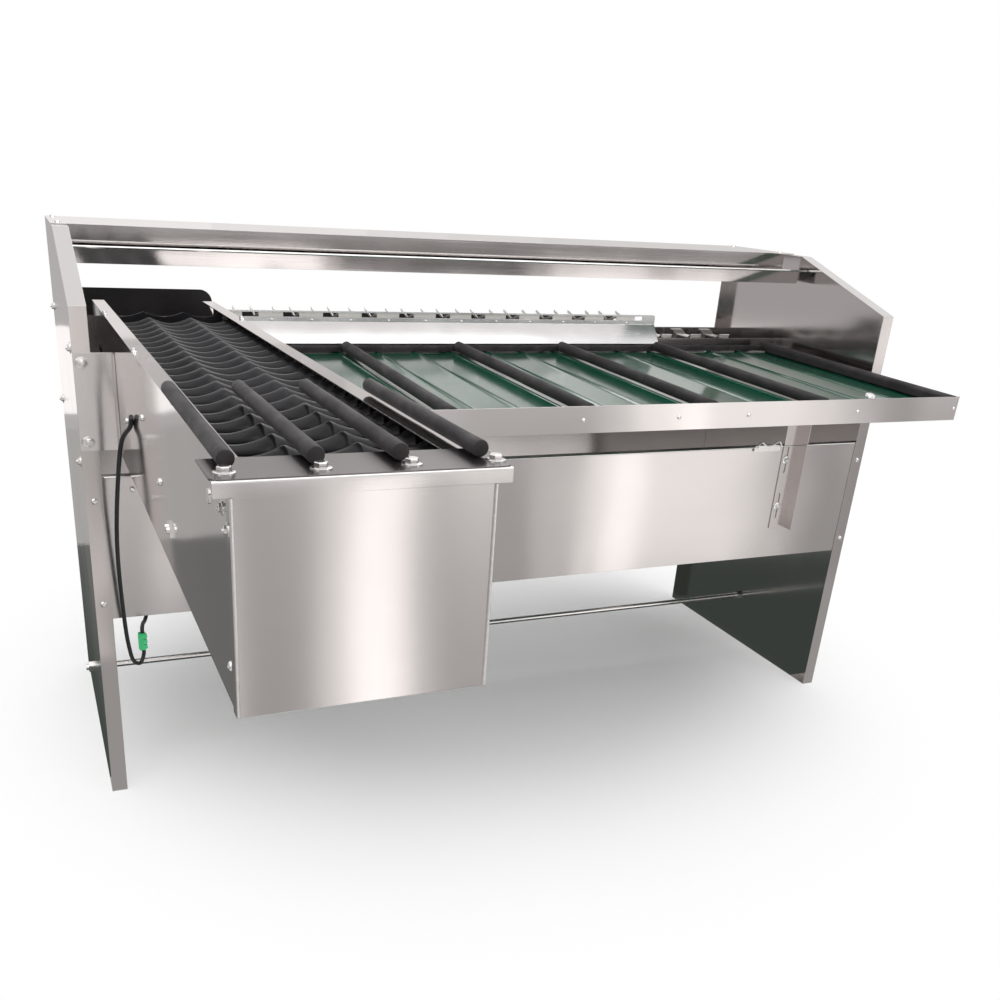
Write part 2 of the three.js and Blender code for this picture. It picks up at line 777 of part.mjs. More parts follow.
// Weigh levers.
const prong_rear_y = carrier_rear_y;
const prong_middle_y = (pan_front_y + prong_rear_y) / 2;
function weigh_lever(grade) {
  const first_x = pan_first_x + grade * lever_span;
  const middle_x = first_x + lever_span / 2 - station_pitch / 2;
  const left_x = middle_x - lever_half_length;
  const right_x = middle_x + lever_half_length;
  const trunnion_reach = lever_end_clearance + lever_rib_thickness;
  const tail_start_y = rocking_bar_y + rocking_bar_half - weld_bite;
  const pieces = [
    box(left_x, right_x, rocking_bar_y - rocking_bar_half, rocking_bar_y + rocking_bar_half,
      rocking_bar_z - rocking_bar_half, rocking_bar_z + rocking_bar_half),
    rod_x(trunnion_radius - running_clearance, left_x - trunnion_reach, right_x + trunnion_reach,
      rocking_bar_y, rocking_bar_z, trunnion_segments),
    box(middle_x - tail_half, middle_x + tail_half, tail_start_y, tail_end_y,
      rocking_bar_z - tail_half, rocking_bar_z + tail_half - weld_bite),
    rod_y(counterweight_radius, tail_end_y - counterweight_length - weld_bite,
      tail_end_y - weld_bite, middle_x, rocking_bar_z, bar_segments),
  ];
  for (let lane = 0; lane < lane_count; lane += 1) {
    const x = first_x + lane * station_pitch;
    const half = pan_width / 2;
    pieces.push(box(x - half, x + half, pan_front_y, pan_front_y + pan_sheet,
      pan_top - pan_plate_height, pan_top));
    pieces.push(box(x - lever_arm_width / 2, x + lever_arm_width / 2, pan_front_y,
      pan_front_y + lever_arm_depth, rocking_bar_z, pan_top - pan_plate_height + weld_bite));
    const prong = shape_of([
      [pan_front_y + weld_bite, pan_top],
      [pan_front_y + weld_bite, pan_top - prong_depth],
      [prong_middle_y, pan_top - prong_dip - prong_depth],
      [prong_rear_y, pan_top - prong_depth],
      [prong_rear_y, pan_top],
      [prong_middle_y, pan_top - prong_dip],
    ]);
    pieces.push(prism_x(prong, x - half, x - half + prong_thickness));
    pieces.push(prism_x(prong, x + half - prong_thickness, x + half));
  }
  return joined(pieces);
}
for (let grade = 0; grade < graded_count; grade += 1) {
  add(`weigh_lever_${grade + 1}`, weigh_lever(grade), stainless);
}

// Chute, bent to a comb band whose long slot shows the pans.
const chute_x = infeed_right_x + chute_left_clearance;
const comb_y = trough_front_y - gap;
const chute_path = [
  [chute_foot_y, chute_foot_z],
  [comb_y, chute_bend_z],
  [comb_y, comb_top],
];
const comb_slot_top = comb_top - comb_rail;
const corner_x = chute_end_x - comb_corner_radius;
const corner_z = comb_top - comb_corner_radius;
const chute_body = solid(prism_x(folded(chute_path, sheet), chute_x, chute_end_x));
const comb_slot = solid(box(chute_x + comb_end_width, chute_end_x - comb_end_width,
  comb_y - sheet - cut_margin, comb_y + cut_margin, comb_slot_top - comb_slot_height,
  comb_slot_top));
const corner_cut = solid(box(corner_x, chute_end_x + cut_margin, comb_y - sheet - cut_margin,
  comb_y + cut_margin, corner_z, comb_top + cut_margin)).subtract(solid(rod_y(comb_corner_radius,
  comb_y - sheet - 2 * cut_margin, comb_y + 2 * cut_margin, corner_x, corner_z, round_segments)));
add("weigh_chute", geometry_of(chute_body.subtract(comb_slot).subtract(corner_cut)), stainless);

// Tray rim: front lip, side walls and a narrow shelf that carries the floor.
const tray_left_x = infeed_right_x + tray_left_clearance;
const tray_side_length = tray_reach + rear_foam_y;
const shelf_top = floor_peak - floor_sag - floor_sheet - gap;
add_tray("tray_rim", joined([
  prism_x(folded([
    [lip_return, 0],
    [0, 0],
    [0, lip_height],
  ].reverse(), sheet), tray_left_x, tray_right_x),
  box(tray_left_x, tray_left_x + sheet, weld_bite, tray_side_length, weld_bite, rim_side_height),
  box(tray_right_x - sheet, tray_right_x, weld_bite, tray_side_length, weld_bite, rim_side_height),
  box(tray_left_x + weld_bite, tray_right_x - weld_bite, sheet - weld_bite, sheet + shelf_reach,
    shelf_top - sheet, shelf_top),
  box(tray_right_x - sheet - shelf_reach, tray_right_x - weld_bite, weld_bite, tray_side_length
    - weld_bite, shelf_top - sheet, shelf_top),
]), stainless);

// Tray floor with a shallow hollow between each pair of lane lines.
const floor_left_x = tray_left_x + sheet + gap;
const floor_right_x = tray_right_x - sheet - gap;
const lane_line_xs = [floor_left_x];
for (let x = pan_first_x + lane_line_offset - 2 * station_pitch; x < floor_right_x
  - station_pitch / 2; x += station_pitch) {
  if (x > floor_left_x + station_pitch / 2) {
    lane_line_xs.push(x);
  }
}
lane_line_xs.push(floor_right_x);
const floor_top = [];
for (let i = 0; i + 1 < lane_line_xs.length; i += 1) {
  const from = lane_line_xs[i];
  const width = lane_line_xs[i + 1] - from;
  for (let step = 0; step < lane_steps; step += 1) {
    const share = step / lane_steps;
    floor_top.push([from + width * share, floor_peak - floor_sag * 4 * share * (1 - share)]);
  }
}
floor_top.push([floor_right_x, floor_peak]);
const floor_under = floor_top.map(([x, z]) => [x, z - floor_sheet]).reverse();
const floor_length = tray_reach + trough_front_y - gap;
add_tray("tray_floor", prism_y(shape_of([...floor_top, ...floor_under]), sheet + gap,
  floor_length), green_sheet);

// Foam edging along the rear and over the right side wall.
const foam_bottom = floor_peak + gap;
const foam_right_x = floor_right_x;
add_tray("tray_edge_foam", joined([
  box(floor_left_x, foam_right_x, tray_side_length - rear_foam_depth, tray_side_length,
    foam_bottom, foam_bottom + rear_foam_height),
  box(foam_right_x - side_foam_width, foam_right_x, sheet + gap, tray_side_length, foam_bottom,
    foam_bottom + side_foam_height),
]), black_foam);

// Foam dividers beside every third lane line.
const divider_end_y = tray_side_length - rear_foam_depth - gap;
for (let grade = 0; grade < graded_count; grade += 1) {
  const x = pan_first_x + lane_line_offset + grade * lever_span + divider_offset;
  add_tray(`tray_divider_${grade + 1}`, rod_y(divider_radius, sheet + gap, divider_end_y, x,
    foam_bottom + divider_radius, foam_segments), black_foam);
}

// Slotted angle between the apron and the tray's underside.
const prop_rear_y = apron_y - gap;
const prop_right_x = prop_left_x + prop_width;
const prop_front_y = prop_rear_y - prop_depth;
const prop_top = tray_front_bottom + (shelf_top + gap) * Math.cos(tray_slope)
  + (tray_reach + prop_front_y) * Math.sin(tray_slope) - gap;
const prop_outline = folded([
  [prop_right_x, prop_front_y],
  [prop_right_x, prop_rear_y],
  [prop_left_x, prop_rear_y],
], prop_sheet);
add("tray_prop", joined([
  prism_z(prop_outline, prop_bottom, prop_top),
  box(prop_left_x, prop_right_x, prop_front_y, prop_rear_y, prop_top - prop_sheet, prop_top),
], prop_slot_zs.map((z) => {
  const half = prop_slot_length / 2 - prop_slot_radius;
  return prism_y(stadium(prop_left_x + prop_slot_inset, z - half, z + half, prop_slot_radius),
    prop_rear_y - prop_sheet - cut_margin, prop_rear_y + cut_margin);
})), stainless);

// Geared motor hung under the trough.
const gearbox_x = pan_first_x + crank_last * station_pitch;
const gearbox_top = trough_bottom - gap;
const gearbox_left_x = gearbox_x - gearbox_width / 2;
const motor_y = gearbox_front_y + gearbox_depth / 2;
const motor_z = gearbox_top - gearbox_height / 2;
add("gearmotor", joined([
  box(gearbox_left_x, gearbox_left_x + gearbox_width, gearbox_front_y, gearbox_front_y
    + gearbox_depth, gearbox_top - gearbox_height, gearbox_top),
  rod_x(motor_radius, gearbox_left_x - motor_length, gearbox_left_x + motor_overlap, motor_y,
    motor_z, round_segments),
]), motor_grey);

// Leads swept along smooth lines, and the plug that joins them.
function lead(points, steps) {
  const path = new THREE.CatmullRomCurve3(points.map((p) => new THREE.Vector3(...p)));
  const ring = new THREE.Shape();
  ring.absarc(0, 0, lead_radius, 0, 2 * Math.PI, false);
  return new THREE.ExtrudeGeometry(ring, {
    steps,
    extrudePath: path,
    bevelEnabled: false,
    curveSegments: lead_segments,
  });
}
const plug_top = plug_bottom + plug_height;
add("infeed_lead", lead([
  ...infeed_lead_points,
  [plug_x, plug_y, plug_bottom - gap - lead_straight],
  [plug_x, plug_y, plug_bottom - gap],
], infeed_lead_steps), lead_black);
add("lead_plug", box(plug_x - plug_width / 2, plug_x + plug_width / 2, plug_y - plug_depth / 2,
  plug_y + plug_depth / 2, plug_bottom, plug_top), plug_green);
add("body_lead", lead([
  [plug_x, plug_y, plug_top + gap],
  [plug_x, plug_y, plug_top + gap + lead_straight],
  ...body_lead_points,
], body_lead_steps), lead_black);

export default root;
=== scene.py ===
"""Looks of an egg grading machine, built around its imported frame.

Lengths are metres in the machine's own frame: +X runs along the trough to the right, +Y to the
back and +Z up. Many places are measured in millimetres from the left panel's outer face and the
front of the side panels, and the function corner() turns such a place into that frame.
"""

import logging
import math
from collections.abc import Callable, Sequence
from dataclasses import dataclass, field
from enum import Enum

import bmesh
import bpy
from mathutils import Matrix, Vector


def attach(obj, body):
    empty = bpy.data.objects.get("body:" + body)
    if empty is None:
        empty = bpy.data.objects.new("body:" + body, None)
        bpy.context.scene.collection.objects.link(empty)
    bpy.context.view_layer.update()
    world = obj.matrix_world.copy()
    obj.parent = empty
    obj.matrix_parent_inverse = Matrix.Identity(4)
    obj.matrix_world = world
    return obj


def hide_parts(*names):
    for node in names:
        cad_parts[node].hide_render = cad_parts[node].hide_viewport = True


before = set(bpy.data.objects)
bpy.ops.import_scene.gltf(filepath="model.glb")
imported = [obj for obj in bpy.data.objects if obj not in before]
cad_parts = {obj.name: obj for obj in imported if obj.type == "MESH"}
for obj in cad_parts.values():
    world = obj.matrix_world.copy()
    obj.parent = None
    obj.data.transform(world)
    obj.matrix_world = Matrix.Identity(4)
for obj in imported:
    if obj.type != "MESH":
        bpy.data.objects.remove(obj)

LOG = logging.getLogger("egg_grader")
MM = 0.001
FRAME_BODY = "frame"
CORNER = Vector((-0.85, 0.199, 0.0))
TO_LEFT = Vector((-1, 0, 0))
TO_RIGHT = Vector((1, 0, 0))
TO_FRONT = Vector((0, -1, 0))
UP = Vector((0, 0, 1))
SWELL_WAVES = (3.1, 3.1, 3.1)
EDGE_SAMPLES = 4

Point = tuple[float, float, float]
Colour = tuple[float, float, float]
Span = tuple[float, float]
Steps = tuple[Span, ...]


def corner(x: float, y: float, z: float) -> Vector:
    """Turns millimetres from the stand's front left floor corner into the machine's frame.

    Args:
        x: Millimetres to the right of the left panel's outer face.
        y: Millimetres behind the front of the side panels.
        z: Millimetres above the floor.

    Returns:
        The place in metres.
    """
    return Vector((x, y, z)) * MM + CORNER


class Grain(Enum):
    """The way that the brushing runs over a steel sheet."""

    ALONG_X = (1.0, 0.0, 0.0)
    ALONG_Y = (0.0, 1.0, 0.0)
    ALONG_Z = (0.0, 0.0, 1.0)


class Shader:
    """A material's node tree with short calls to add and join nodes."""

    def __init__(self, name: str) -> None:
        """Makes an empty material with a principled shader.

        Args:
            name: The material's name.
        """
        self.material = bpy.data.materials.new(name)
        self.material.use_nodes = True
        self.tree = self.material.node_tree
        self.tree.nodes.clear()
        self.output = self.tree.nodes.new("ShaderNodeOutputMaterial")
        self.surface = self.tree.nodes.new("ShaderNodeBsdfPrincipled")
        self.link(self.surface.outputs["BSDF"], self.output.inputs["Surface"])

    def link(self, source: bpy.types.NodeSocket, target: bpy.types.NodeSocket) -> None:
        """Joins two sockets."""
        self.tree.links.new(source, target)

    def feed(self, name: str, source: bpy.types.NodeSocket) -> None:
        """Joins a socket to an input of the principled shader."""
        self.link(source, self.surface.inputs[name])

    def node(self, kind: str, **values: object) -> bpy.types.Node:
        """Adds a node and sets its named inputs or properties.

        Args:
            kind: The node's type without the leading ShaderNode.
            values: Input values by socket name with underscores for spaces, or properties.

        Returns:
            The new node.
        """
        node = self.tree.nodes.new("ShaderNode" + kind)
        for key, value in values.items():
            socket = node.inputs.get(key.replace("_", " "))
            if socket is not None:
                socket.default_value = value
            else:
                setattr(node, key, value)
        return node

    def place(self, scale: Point) -> bpy.types.NodeSocket:
        """Gives the object coordinate stretched by a scale on each axis.

        Args:
            scale: The stretch along each axis.

        Returns:
            The stretched coordinate.
        """
        where = self.node("TexCoord")
        mapping = self.node("Mapping", Scale=scale)
        self.link(where.outputs["Object"], mapping.inputs["Vector"])
        return mapping.outputs["Vector"]

    def noise(self, scale: Point, detail: float, roughness: float) -> bpy.types.NodeSocket:
        """Gives a noise value from 0 to 1 over the stretched object coordinate.

        Args:
            scale: Waves per metre along each axis.
            detail: How many finer layers are added.
            roughness: The weight of the finer layers.

        Returns:
            The noise value.
        """
        noise = self.node("TexNoise", Scale=1.0, Detail=detail, Roughness=roughness)
        self.link(self.place(scale), noise.inputs["Vector"])
        return noise.outputs["Fac"]

    def spread(self, value: bpy.types.NodeSocket, low: float, high: float,
               start: float = 0.3, end: float = 0.7) -> bpy.types.NodeSocket:
        """Maps a value's range from start to end onto low to high.

        Args:
            value: The value.
            low: The result at the start of the range.
            high: The result at the end of the range.
            start: The start of the range.
            end: The end of the range.

        Returns:
            The mapped value.
        """
        spread = self.node("MapRange", From_Min=start, From_Max=end, To_Min=low, To_Max=high)
        self.link(value, spread.inputs["Value"])
        return spread.outputs["Result"]

    def blend(self, amount: bpy.types.NodeSocket, first: Colour,
              second: Colour) -> bpy.types.NodeSocket:
        """Gives a colour between two others by an amount.

        Args:
            amount: 0 for the first colour and 1 for the second.
            first: The first colour.
            second: The second colour.

        Returns:
            The mixed colour.
        """
        mix = self.node("Mix", data_type="RGBA")
        ends = [socket for socket in mix.inputs if socket.type == "RGBA"]
        for socket, colour in zip(ends, (first, second)):
            socket.default_value = (*colour, 1.0)
        self.link(amount, mix.inputs["Factor"])
        return next(socket for socket in mix.outputs if socket.type == "RGBA")

    def normal(self, height: bpy.types.NodeSocket, strength: float, distance: float,
               edge: float = 0.0, swell: float = 0.0) -> None:
        """Sets the surface normal from a height, a rounding of sharp edges and a broad swell.

        Args:
            height: The fine relief, from 0 to 1.
            strength: The share of the relief that shows.
            distance: The relief's depth in metres.
            edge: The radius of the rounding.
            swell: The depth of the slow waves of a thin sheet.
        """
        bump = self.node("Bump", Strength=strength, Distance=distance)
        self.link(height, bump.inputs["Height"])
        under = bump.inputs["Normal"]
        if swell > 0:
            waves = self.node("Bump", Strength=1.0, Distance=swell)
            self.link(self.noise(SWELL_WAVES, 1.0, 0.4), waves.inputs["Height"])
            self.link(waves.outputs["Normal"], under)
            under = waves.inputs["Normal"]
        if edge > 0:
            rounding = self.node("Bevel", samples=EDGE_SAMPLES, Radius=edge)
            self.link(rounding.outputs["Normal"], under)
        self.link(bump.outputs["Normal"], self.surface.inputs["Normal"])

    def set(self, **values: object) -> None:
        """Sets inputs of the principled shader by name with underscores for spaces."""
        for key, value in values.items():
            self.surface.inputs[key.replace("_", " ")].default_value = value


@dataclass(frozen=True)
class BrushedSteel:
    """Stainless sheet with fine brushed lines, faint handling marks, soft edges and broad darker
    bands in its colour, which are painted reflection and partly random tone.

    The fields line_waves, length_waves, band and marks are in waves per metre, and edge, swell and
    line_depth are in metres.
    """

    name: str
    grain: Grain
    colour: Colour = (0.66, 0.635, 0.625)
    # shade sets how far the broad bands of painted reflection darken the colour.
    shade: float = 0.97
    roughness: float = 0.17
    variation: float = 0.02
    anisotropy: float = 1.0
    line_waves: float = 1500.0
    length_waves: float = 4.0
    line_strength: float = 0.025
    line_depth: float = 0.0004
    marks: float = 7.0
    edge: float = 0.0007
    # Waves per metre of the broad bands of painted reflection, and how much longer than wide they
    # are.
    painted_band_waves: float = 2.2
    painted_band_stretch: float = 9.0
    metal: float = 1.0
    swell: float = 0.004

    def material(self) -> bpy.types.Material:
        """Builds the steel's material.

        Returns:
            A material whose lines run along the grain.
        """
        shader = Shader(self.name)
        way = self.grain.value
        lines = tuple(self.length_waves if part else self.line_waves for part in way)
        # Broad noise stretched along the grain darkens the base colour in bands: painted
        # reflection, partly random tone.
        painted_band_scale = tuple(self.painted_band_waves if part else self.painted_band_stretch * self.painted_band_waves for part in way)
        fine = shader.noise(lines, 3.0, 0.65)
        broad = shader.noise(painted_band_scale, 3.0, 0.55)
        marks = shader.noise((self.marks,) * 3, 4.0, 0.6)
        darker = tuple(part * self.shade for part in self.colour)
        shader.feed("Base Color", shader.blend(broad, darker, self.colour))
        rough = shader.node("Math", operation="ADD")
        half = self.variation / 2
        shader.link(shader.spread(marks, self.roughness - half, self.roughness + half),
                    rough.inputs[0])
        shader.link(shader.spread(fine, -half, half), rough.inputs[1])
        shader.feed("Roughness", rough.outputs["Value"])
        shader.set(Metallic=self.metal, Anisotropic=self.anisotropy)
        across = shader.node("CombineXYZ", X=1 - way[0], Y=1 - way[1], Z=1 - way[2])
        shader.feed("Tangent", across.outputs["Vector"])
        shader.normal(fine, self.line_strength, self.line_depth, self.edge, self.swell)
        return shader.material


@dataclass(frozen=True)
class Bright:
    """Polished or plated small metal, such as a screw head or a rod."""

    name: str
    colour: Colour = (0.90, 0.885, 0.87)
    shade: float = 0.8
    roughness: float = 0.16
    dullness: float = 0.12
    tarnish: float = 160.0

    def material(self) -> bpy.types.Material:
        """Builds the metal's material.

        Returns:
            A clean metal with slight tarnish, whose spots are given in waves per metre.
        """
        shader = Shader(self.name)
        tarnish = shader.noise((self.tarnish,) * 3, 3.0, 0.6)
        darker = tuple(part * self.shade for part in self.colour)
        shader.feed("Base Color", shader.blend(tarnish, darker, self.colour))
        shader.feed("Roughness",
                    shader.spread(tarnish, self.roughness, self.roughness + self.dullness))
        shader.set(Metallic=1.0)
        shader.normal(tarnish, 0.05, 0.0002)
        return shader.material


@dataclass(frozen=True)
class Foam:
    """Closed-cell foam with a fine skin."""

    name: str
    colour: Colour = (0.014, 0.0115, 0.013)
    worn: Colour = (0.040, 0.033, 0.036)
    roughness: float = 0.62
    polish: float = 0.12
    cells: float = 900.0

    def material(self) -> bpy.types.Material:
        """Builds the foam's material.

        Returns:
            A matt dark foam with rubbed spots and cells, which are given in waves per metre.
        """
        shader = Shader(self.name)
        cells = shader.noise((self.cells,) * 3, 3.0, 0.7)
        rubbed = shader.noise((30.0, 14.0, 30.0), 4.0, 0.65)
        wear = shader.spread(rubbed, 0.0, 1.0, 0.42, 0.75)
        shader.feed("Base Color", shader.blend(wear, self.colour, self.worn))
        shader.feed("Roughness", shader.spread(rubbed, self.roughness + self.polish,
                                               self.roughness - self.polish))
        shader.set(Specular_IOR_Level=0.3, Sheen_Weight=0.07, Sheen_Roughness=0.5)
        shader.normal(cells, 0.35, 0.0006)
        return shader.material


@dataclass(frozen=True)
class Plastic:
    """Moulded or sheet plastic with a light texture."""

    name: str
    colour: Colour
    worn: Colour
    roughness: float = 0.32
    texture: float = 420.0
    spots: float = 11.0
    strength: float = 0.12
    gloss: float = 0.5
    edge: float = 0.0

    def material(self) -> bpy.types.Material:
        """Builds the plastic's material.

        Returns:
            A plastic with handled spots and a skin, which are given in waves per metre.
        """
        shader = Shader(self.name)
        skin = shader.noise((self.texture,) * 3, 3.0, 0.6)
        handled = shader.noise((self.spots,) * 3, 5.0, 0.6)
        wear = shader.spread(handled, 0.0, 1.0, 0.4, 0.8)
        shader.feed("Base Color", shader.blend(wear, self.colour, self.worn))
        shader.feed("Roughness",
                    shader.spread(handled, self.roughness - 0.06, self.roughness + 0.08))
        shader.set(Specular_IOR_Level=self.gloss)
        shader.normal(skin, self.strength, 0.0004, self.edge)
        return shader.material


@dataclass(frozen=True)
class GreenSheet:
    """Glossy green sheet of the tray's floor, with pale streaks along the lanes painted into its
    colour as reflections, and faint dust in its roughness and relief.
    """

    name: str
    colour: Colour = (0.004, 0.060, 0.034)
    # pale is the paler green of the painted reflection streaks along the lanes.
    pale: Colour = (0.012, 0.115, 0.068)
    roughness: float = 0.12
    coat: float = 0.65

    def material(self) -> bpy.types.Material:
        """Builds the green sheet's material.

        Returns:
            A coated sheet whose noises are given in waves per metre, the lanes' long along Y.
        """
        shader = Shader(self.name)
        # Pale streaks stretched along the lanes are painted reflection in the base colour; the dust
        # noise only sets roughness and relief.
        lanes = shader.noise((26.0, 2.0, 26.0), 4.0, 0.6)
        dust = shader.noise((60.0, 60.0, 60.0), 5.0, 0.7)
        shader.feed("Base Color", shader.blend(lanes, self.colour, self.pale))
        shader.feed("Roughness",
                    shader.spread(dust, self.roughness - 0.03, self.roughness + 0.06))
        shader.set(Specular_IOR_Level=0.6, Coat_Weight=self.coat, Coat_Roughness=0.12)
        shader.normal(dust, 0.04, 0.0006)
        return shader.material


Finish = BrushedSteel | Bright | Foam | Plastic | GreenSheet


@dataclass(frozen=True)
class Palette:
    """Every finish of the machine, each built once."""

    steel_x: BrushedSteel = BrushedSteel("steel_brushed_along_x", Grain.ALONG_X)
    steel_y: BrushedSteel = BrushedSteel("steel_brushed_along_y", Grain.ALONG_Y,
                                         (0.60, 0.57, 0.56), roughness=0.10, anisotropy=0.4)
    steel_z: BrushedSteel = BrushedSteel("steel_brushed_along_z", Grain.ALONG_Z,
                                         (0.66, 0.63, 0.62), roughness=0.14, anisotropy=0.4)
    shelf: BrushedSteel = BrushedSteel("steel_of_the_shelf", Grain.ALONG_X, (0.66, 0.63, 0.62),
                                       roughness=0.06, anisotropy=0.2, swell=0.002)
    # The chute's near-white colour is painted light: it is brighter than the other steel to stand
    # for the light that falls on it.
    chute: BrushedSteel = BrushedSteel("steel_of_the_chute_with_painted_light", Grain.ALONG_X, (0.97, 0.955, 0.965),
                                       shade=0.72, roughness=0.22, variation=0.10,
                                       anisotropy=0.0, painted_band_waves=7.0, painted_band_stretch=1.6, metal=0.85)
    ledge: BrushedSteel = BrushedSteel("steel_of_the_ledge", Grain.ALONG_X, (0.17, 0.157, 0.157),
                                       roughness=0.24, anisotropy=0.5)
    # The trough's steel is much darker than the rest: painted shade for its shaded inside.
    trough: BrushedSteel = BrushedSteel("steel_of_the_trough_with_painted_shade", Grain.ALONG_X,
                                        (0.42, 0.39, 0.38), roughness=0.24, anisotropy=0.5)
    worked: BrushedSteel = BrushedSteel("steel_of_the_works", Grain.ALONG_X, (0.95, 0.91, 0.87),
                                        shade=0.88, roughness=0.30, anisotropy=0.2, edge=0.0004,
                                        metal=0.8)
    bright: Bright = Bright("bright_fasteners")
    foam: Foam = Foam("black_foam")
    roller: Plastic = Plastic("black_roller_plastic", (0.009, 0.0085, 0.010),
                              (0.020, 0.018, 0.021), roughness=0.30, gloss=0.22)
    guard: Plastic = Plastic("black_guard_sheet", (0.032, 0.027, 0.029), (0.062, 0.056, 0.059),
                             roughness=0.42, edge=0.0006)
    trim: Plastic = Plastic("black_edge_trim", (0.012, 0.011, 0.012), (0.03, 0.028, 0.03),
                            roughness=0.5)
    green: GreenSheet = GreenSheet("green_sheet_with_painted_streaks")
    green_seam: Plastic = Plastic("green_lane_seam", (0.004, 0.038, 0.022), (0.006, 0.055, 0.032),
                                  roughness=0.4)
    plug: Plastic = Plastic("green_plug", (0.02, 0.50, 0.16), (0.10, 0.66, 0.30), roughness=0.35)
    sheath: Plastic = Plastic("black_sheath", (0.010, 0.010, 0.012), (0.02, 0.02, 0.022),
                              roughness=0.34)
    paint: Plastic = Plastic("grey_machine_paint", (0.20, 0.22, 0.24), (0.26, 0.28, 0.30),
                             roughness=0.42, texture=260.0, edge=0.001)
    built: dict[str, bpy.types.Material] = field(default_factory=dict)

    def get(self, finish: Finish) -> bpy.types.Material:
        """Gives the material of a finish, built at its first use.

        Args:
            finish: One of this palette's finishes.

        Returns:
            The material.
        """
        if finish.name not in self.built:
            self.built[finish.name] = finish.material()
        return self.built[finish.name]


PALETTE = Palette()


def dress(obj: bpy.types.Object, *finishes: Finish) -> None:
    """Gives an object its finishes in the order of its material slots.

    Args:
        obj: A piece or a node of the frame.
        finishes: One finish for each slot.
    """
    obj.data.materials.clear()
    for finish in finishes:
        obj.data.materials.append(PALETTE.get(finish))


def declare(piece: bpy.types.Object, slot: str, *stands_for: str) -> None:
    """Lets a piece ride on the machine's frame and hides the nodes that it replaces.

    Args:
        piece: The piece.
        slot: Not used.
        stands_for: The nodes that the piece replaces, if any.
    """
    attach(piece, FRAME_BODY)
    if stands_for:
        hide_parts(*stands_for)


def mesh_piece(name: str, mesh: bmesh.types.BMesh,
               smooth_degrees: float = 40.0) -> bpy.types.Object:
    """Turns a bmesh into a linked object with smooth shading up to an angle.

    Args:
        name: The piece's name.
        mesh: The geometry, which is freed.
        smooth_degrees: Edges sharper than this stay crisp.

    Returns:
        The new object.
    """
    bmesh.ops.recalc_face_normals(mesh, faces=mesh.faces)
    for face in mesh.faces:
        face.smooth = True
    limit = math.radians(smooth_degrees)
    for edge in mesh.edges:
        if len(edge.link_faces) == 2 and edge.calc_face_angle(0.0) > limit:
            edge.smooth = False
    data = bpy.data.meshes.new(name)
    mesh.to_mesh(data)
    mesh.free()
    obj = bpy.data.objects.new(name, data)
    bpy.context.scene.collection.objects.link(obj)
    return obj


def basis(place: Vector, facing: Vector) -> Matrix:
    """Gives the turn and shift that put a piece made along +Z at a place, facing a way."""
    turn = UP.rotation_difference(facing.normalized()).to_matrix().to_4x4()
    return Matrix.Translation(place) @ turn


def in_metres(profile: Sequence[Span]) -> list[Span]:
    """Turns a profile in millimetres into metres."""
    return [(radius * MM, height * MM) for radius, height in profile]


def add_lathe(mesh: bmesh.types.BMesh, profile: Sequence[Span], sides: int,
              where: Matrix) -> None:
    """Turns a profile about the local Z axis and adds it to a mesh.

    Args:
        mesh: The mesh that gets the new faces.
        profile: Radius and height pairs; a radius of zero closes the end.
        sides: Sides of each ring.
        where: The turn and shift of the local axes.
    """
    rings = []
    for radius, height in profile:
        if radius < 1e-7:
            rings.append([mesh.verts.new(where @ Vector((0, 0, height)))])
            continue
        turns = [2 * math.pi * i / sides for i in range(sides)]
        rings.append([mesh.verts.new(where @ Vector((radius * math.cos(turn),
                                                     radius * math.sin(turn), height)))
                      for turn in turns])
    for low, high in zip(rings, rings[1:]):
        for i in range(sides):
            corners = [low[i % len(low)], low[(i + 1) % len(low)],
                       high[(i + 1) % len(high)], high[i % len(high)]]
            unique = list(dict.fromkeys(corners))
            if len(unique) > 2:
                mesh.faces.new(unique)


def add_prism(mesh: bmesh.types.BMesh, outline: Sequence[Vector], along: Vector) -> None:
    """Adds a closed prism of an outline swept along a vector.

    Args:
        mesh: The mesh that gets the new faces.
        outline: The corners of the first end, in order.
        along: The way and length of the sweep.
    """
    first = [mesh.verts.new(p) for p in outline]
    second = [mesh.verts.new(p + along) for p in outline]
    mesh.faces.new(first)
    mesh.faces.new(list(reversed(second)))
    for i in range(len(outline)):
        j = (i + 1) % len(outline)
        mesh.faces.new([first[j], first[i], second[i], second[j]])


def add_tube(mesh: bmesh.types.BMesh, points: Sequence[Vector], radius: float,
             sides: int) -> None:
    """Adds a closed round tube along points, with its rings kept from twisting.

    Args:
        mesh: The mesh that gets the new faces.
        points: The tube's middle line.
        radius: Its radius in metres.
        sides: Sides of each ring.
    """
    rings = []
    direction = (points[1] - points[0]).normalized()
    side = direction.orthogonal().normalized()
    for i, point in enumerate(points):
        ahead = points[min(i + 1, len(points) - 1)]
        behind = points[max(i - 1, 0)]
        direction = (ahead - behind).normalized()
        side = (side - direction * side.dot(direction)).normalized()
        other = direction.cross(side)
        rings.append([mesh.verts.new(point + radius * (math.cos(a) * side + math.sin(a) * other))
                      for a in (2 * math.pi * k / sides for k in range(sides))])
    for low, high in zip(rings, rings[1:]):
        for k in range(sides):
            n = (k + 1) % sides
            mesh.faces.new([low[k], low[n], high[n], high[k]])
    mesh.faces.new(list(reversed(rings[0])))
    mesh.faces.new(rings[-1])


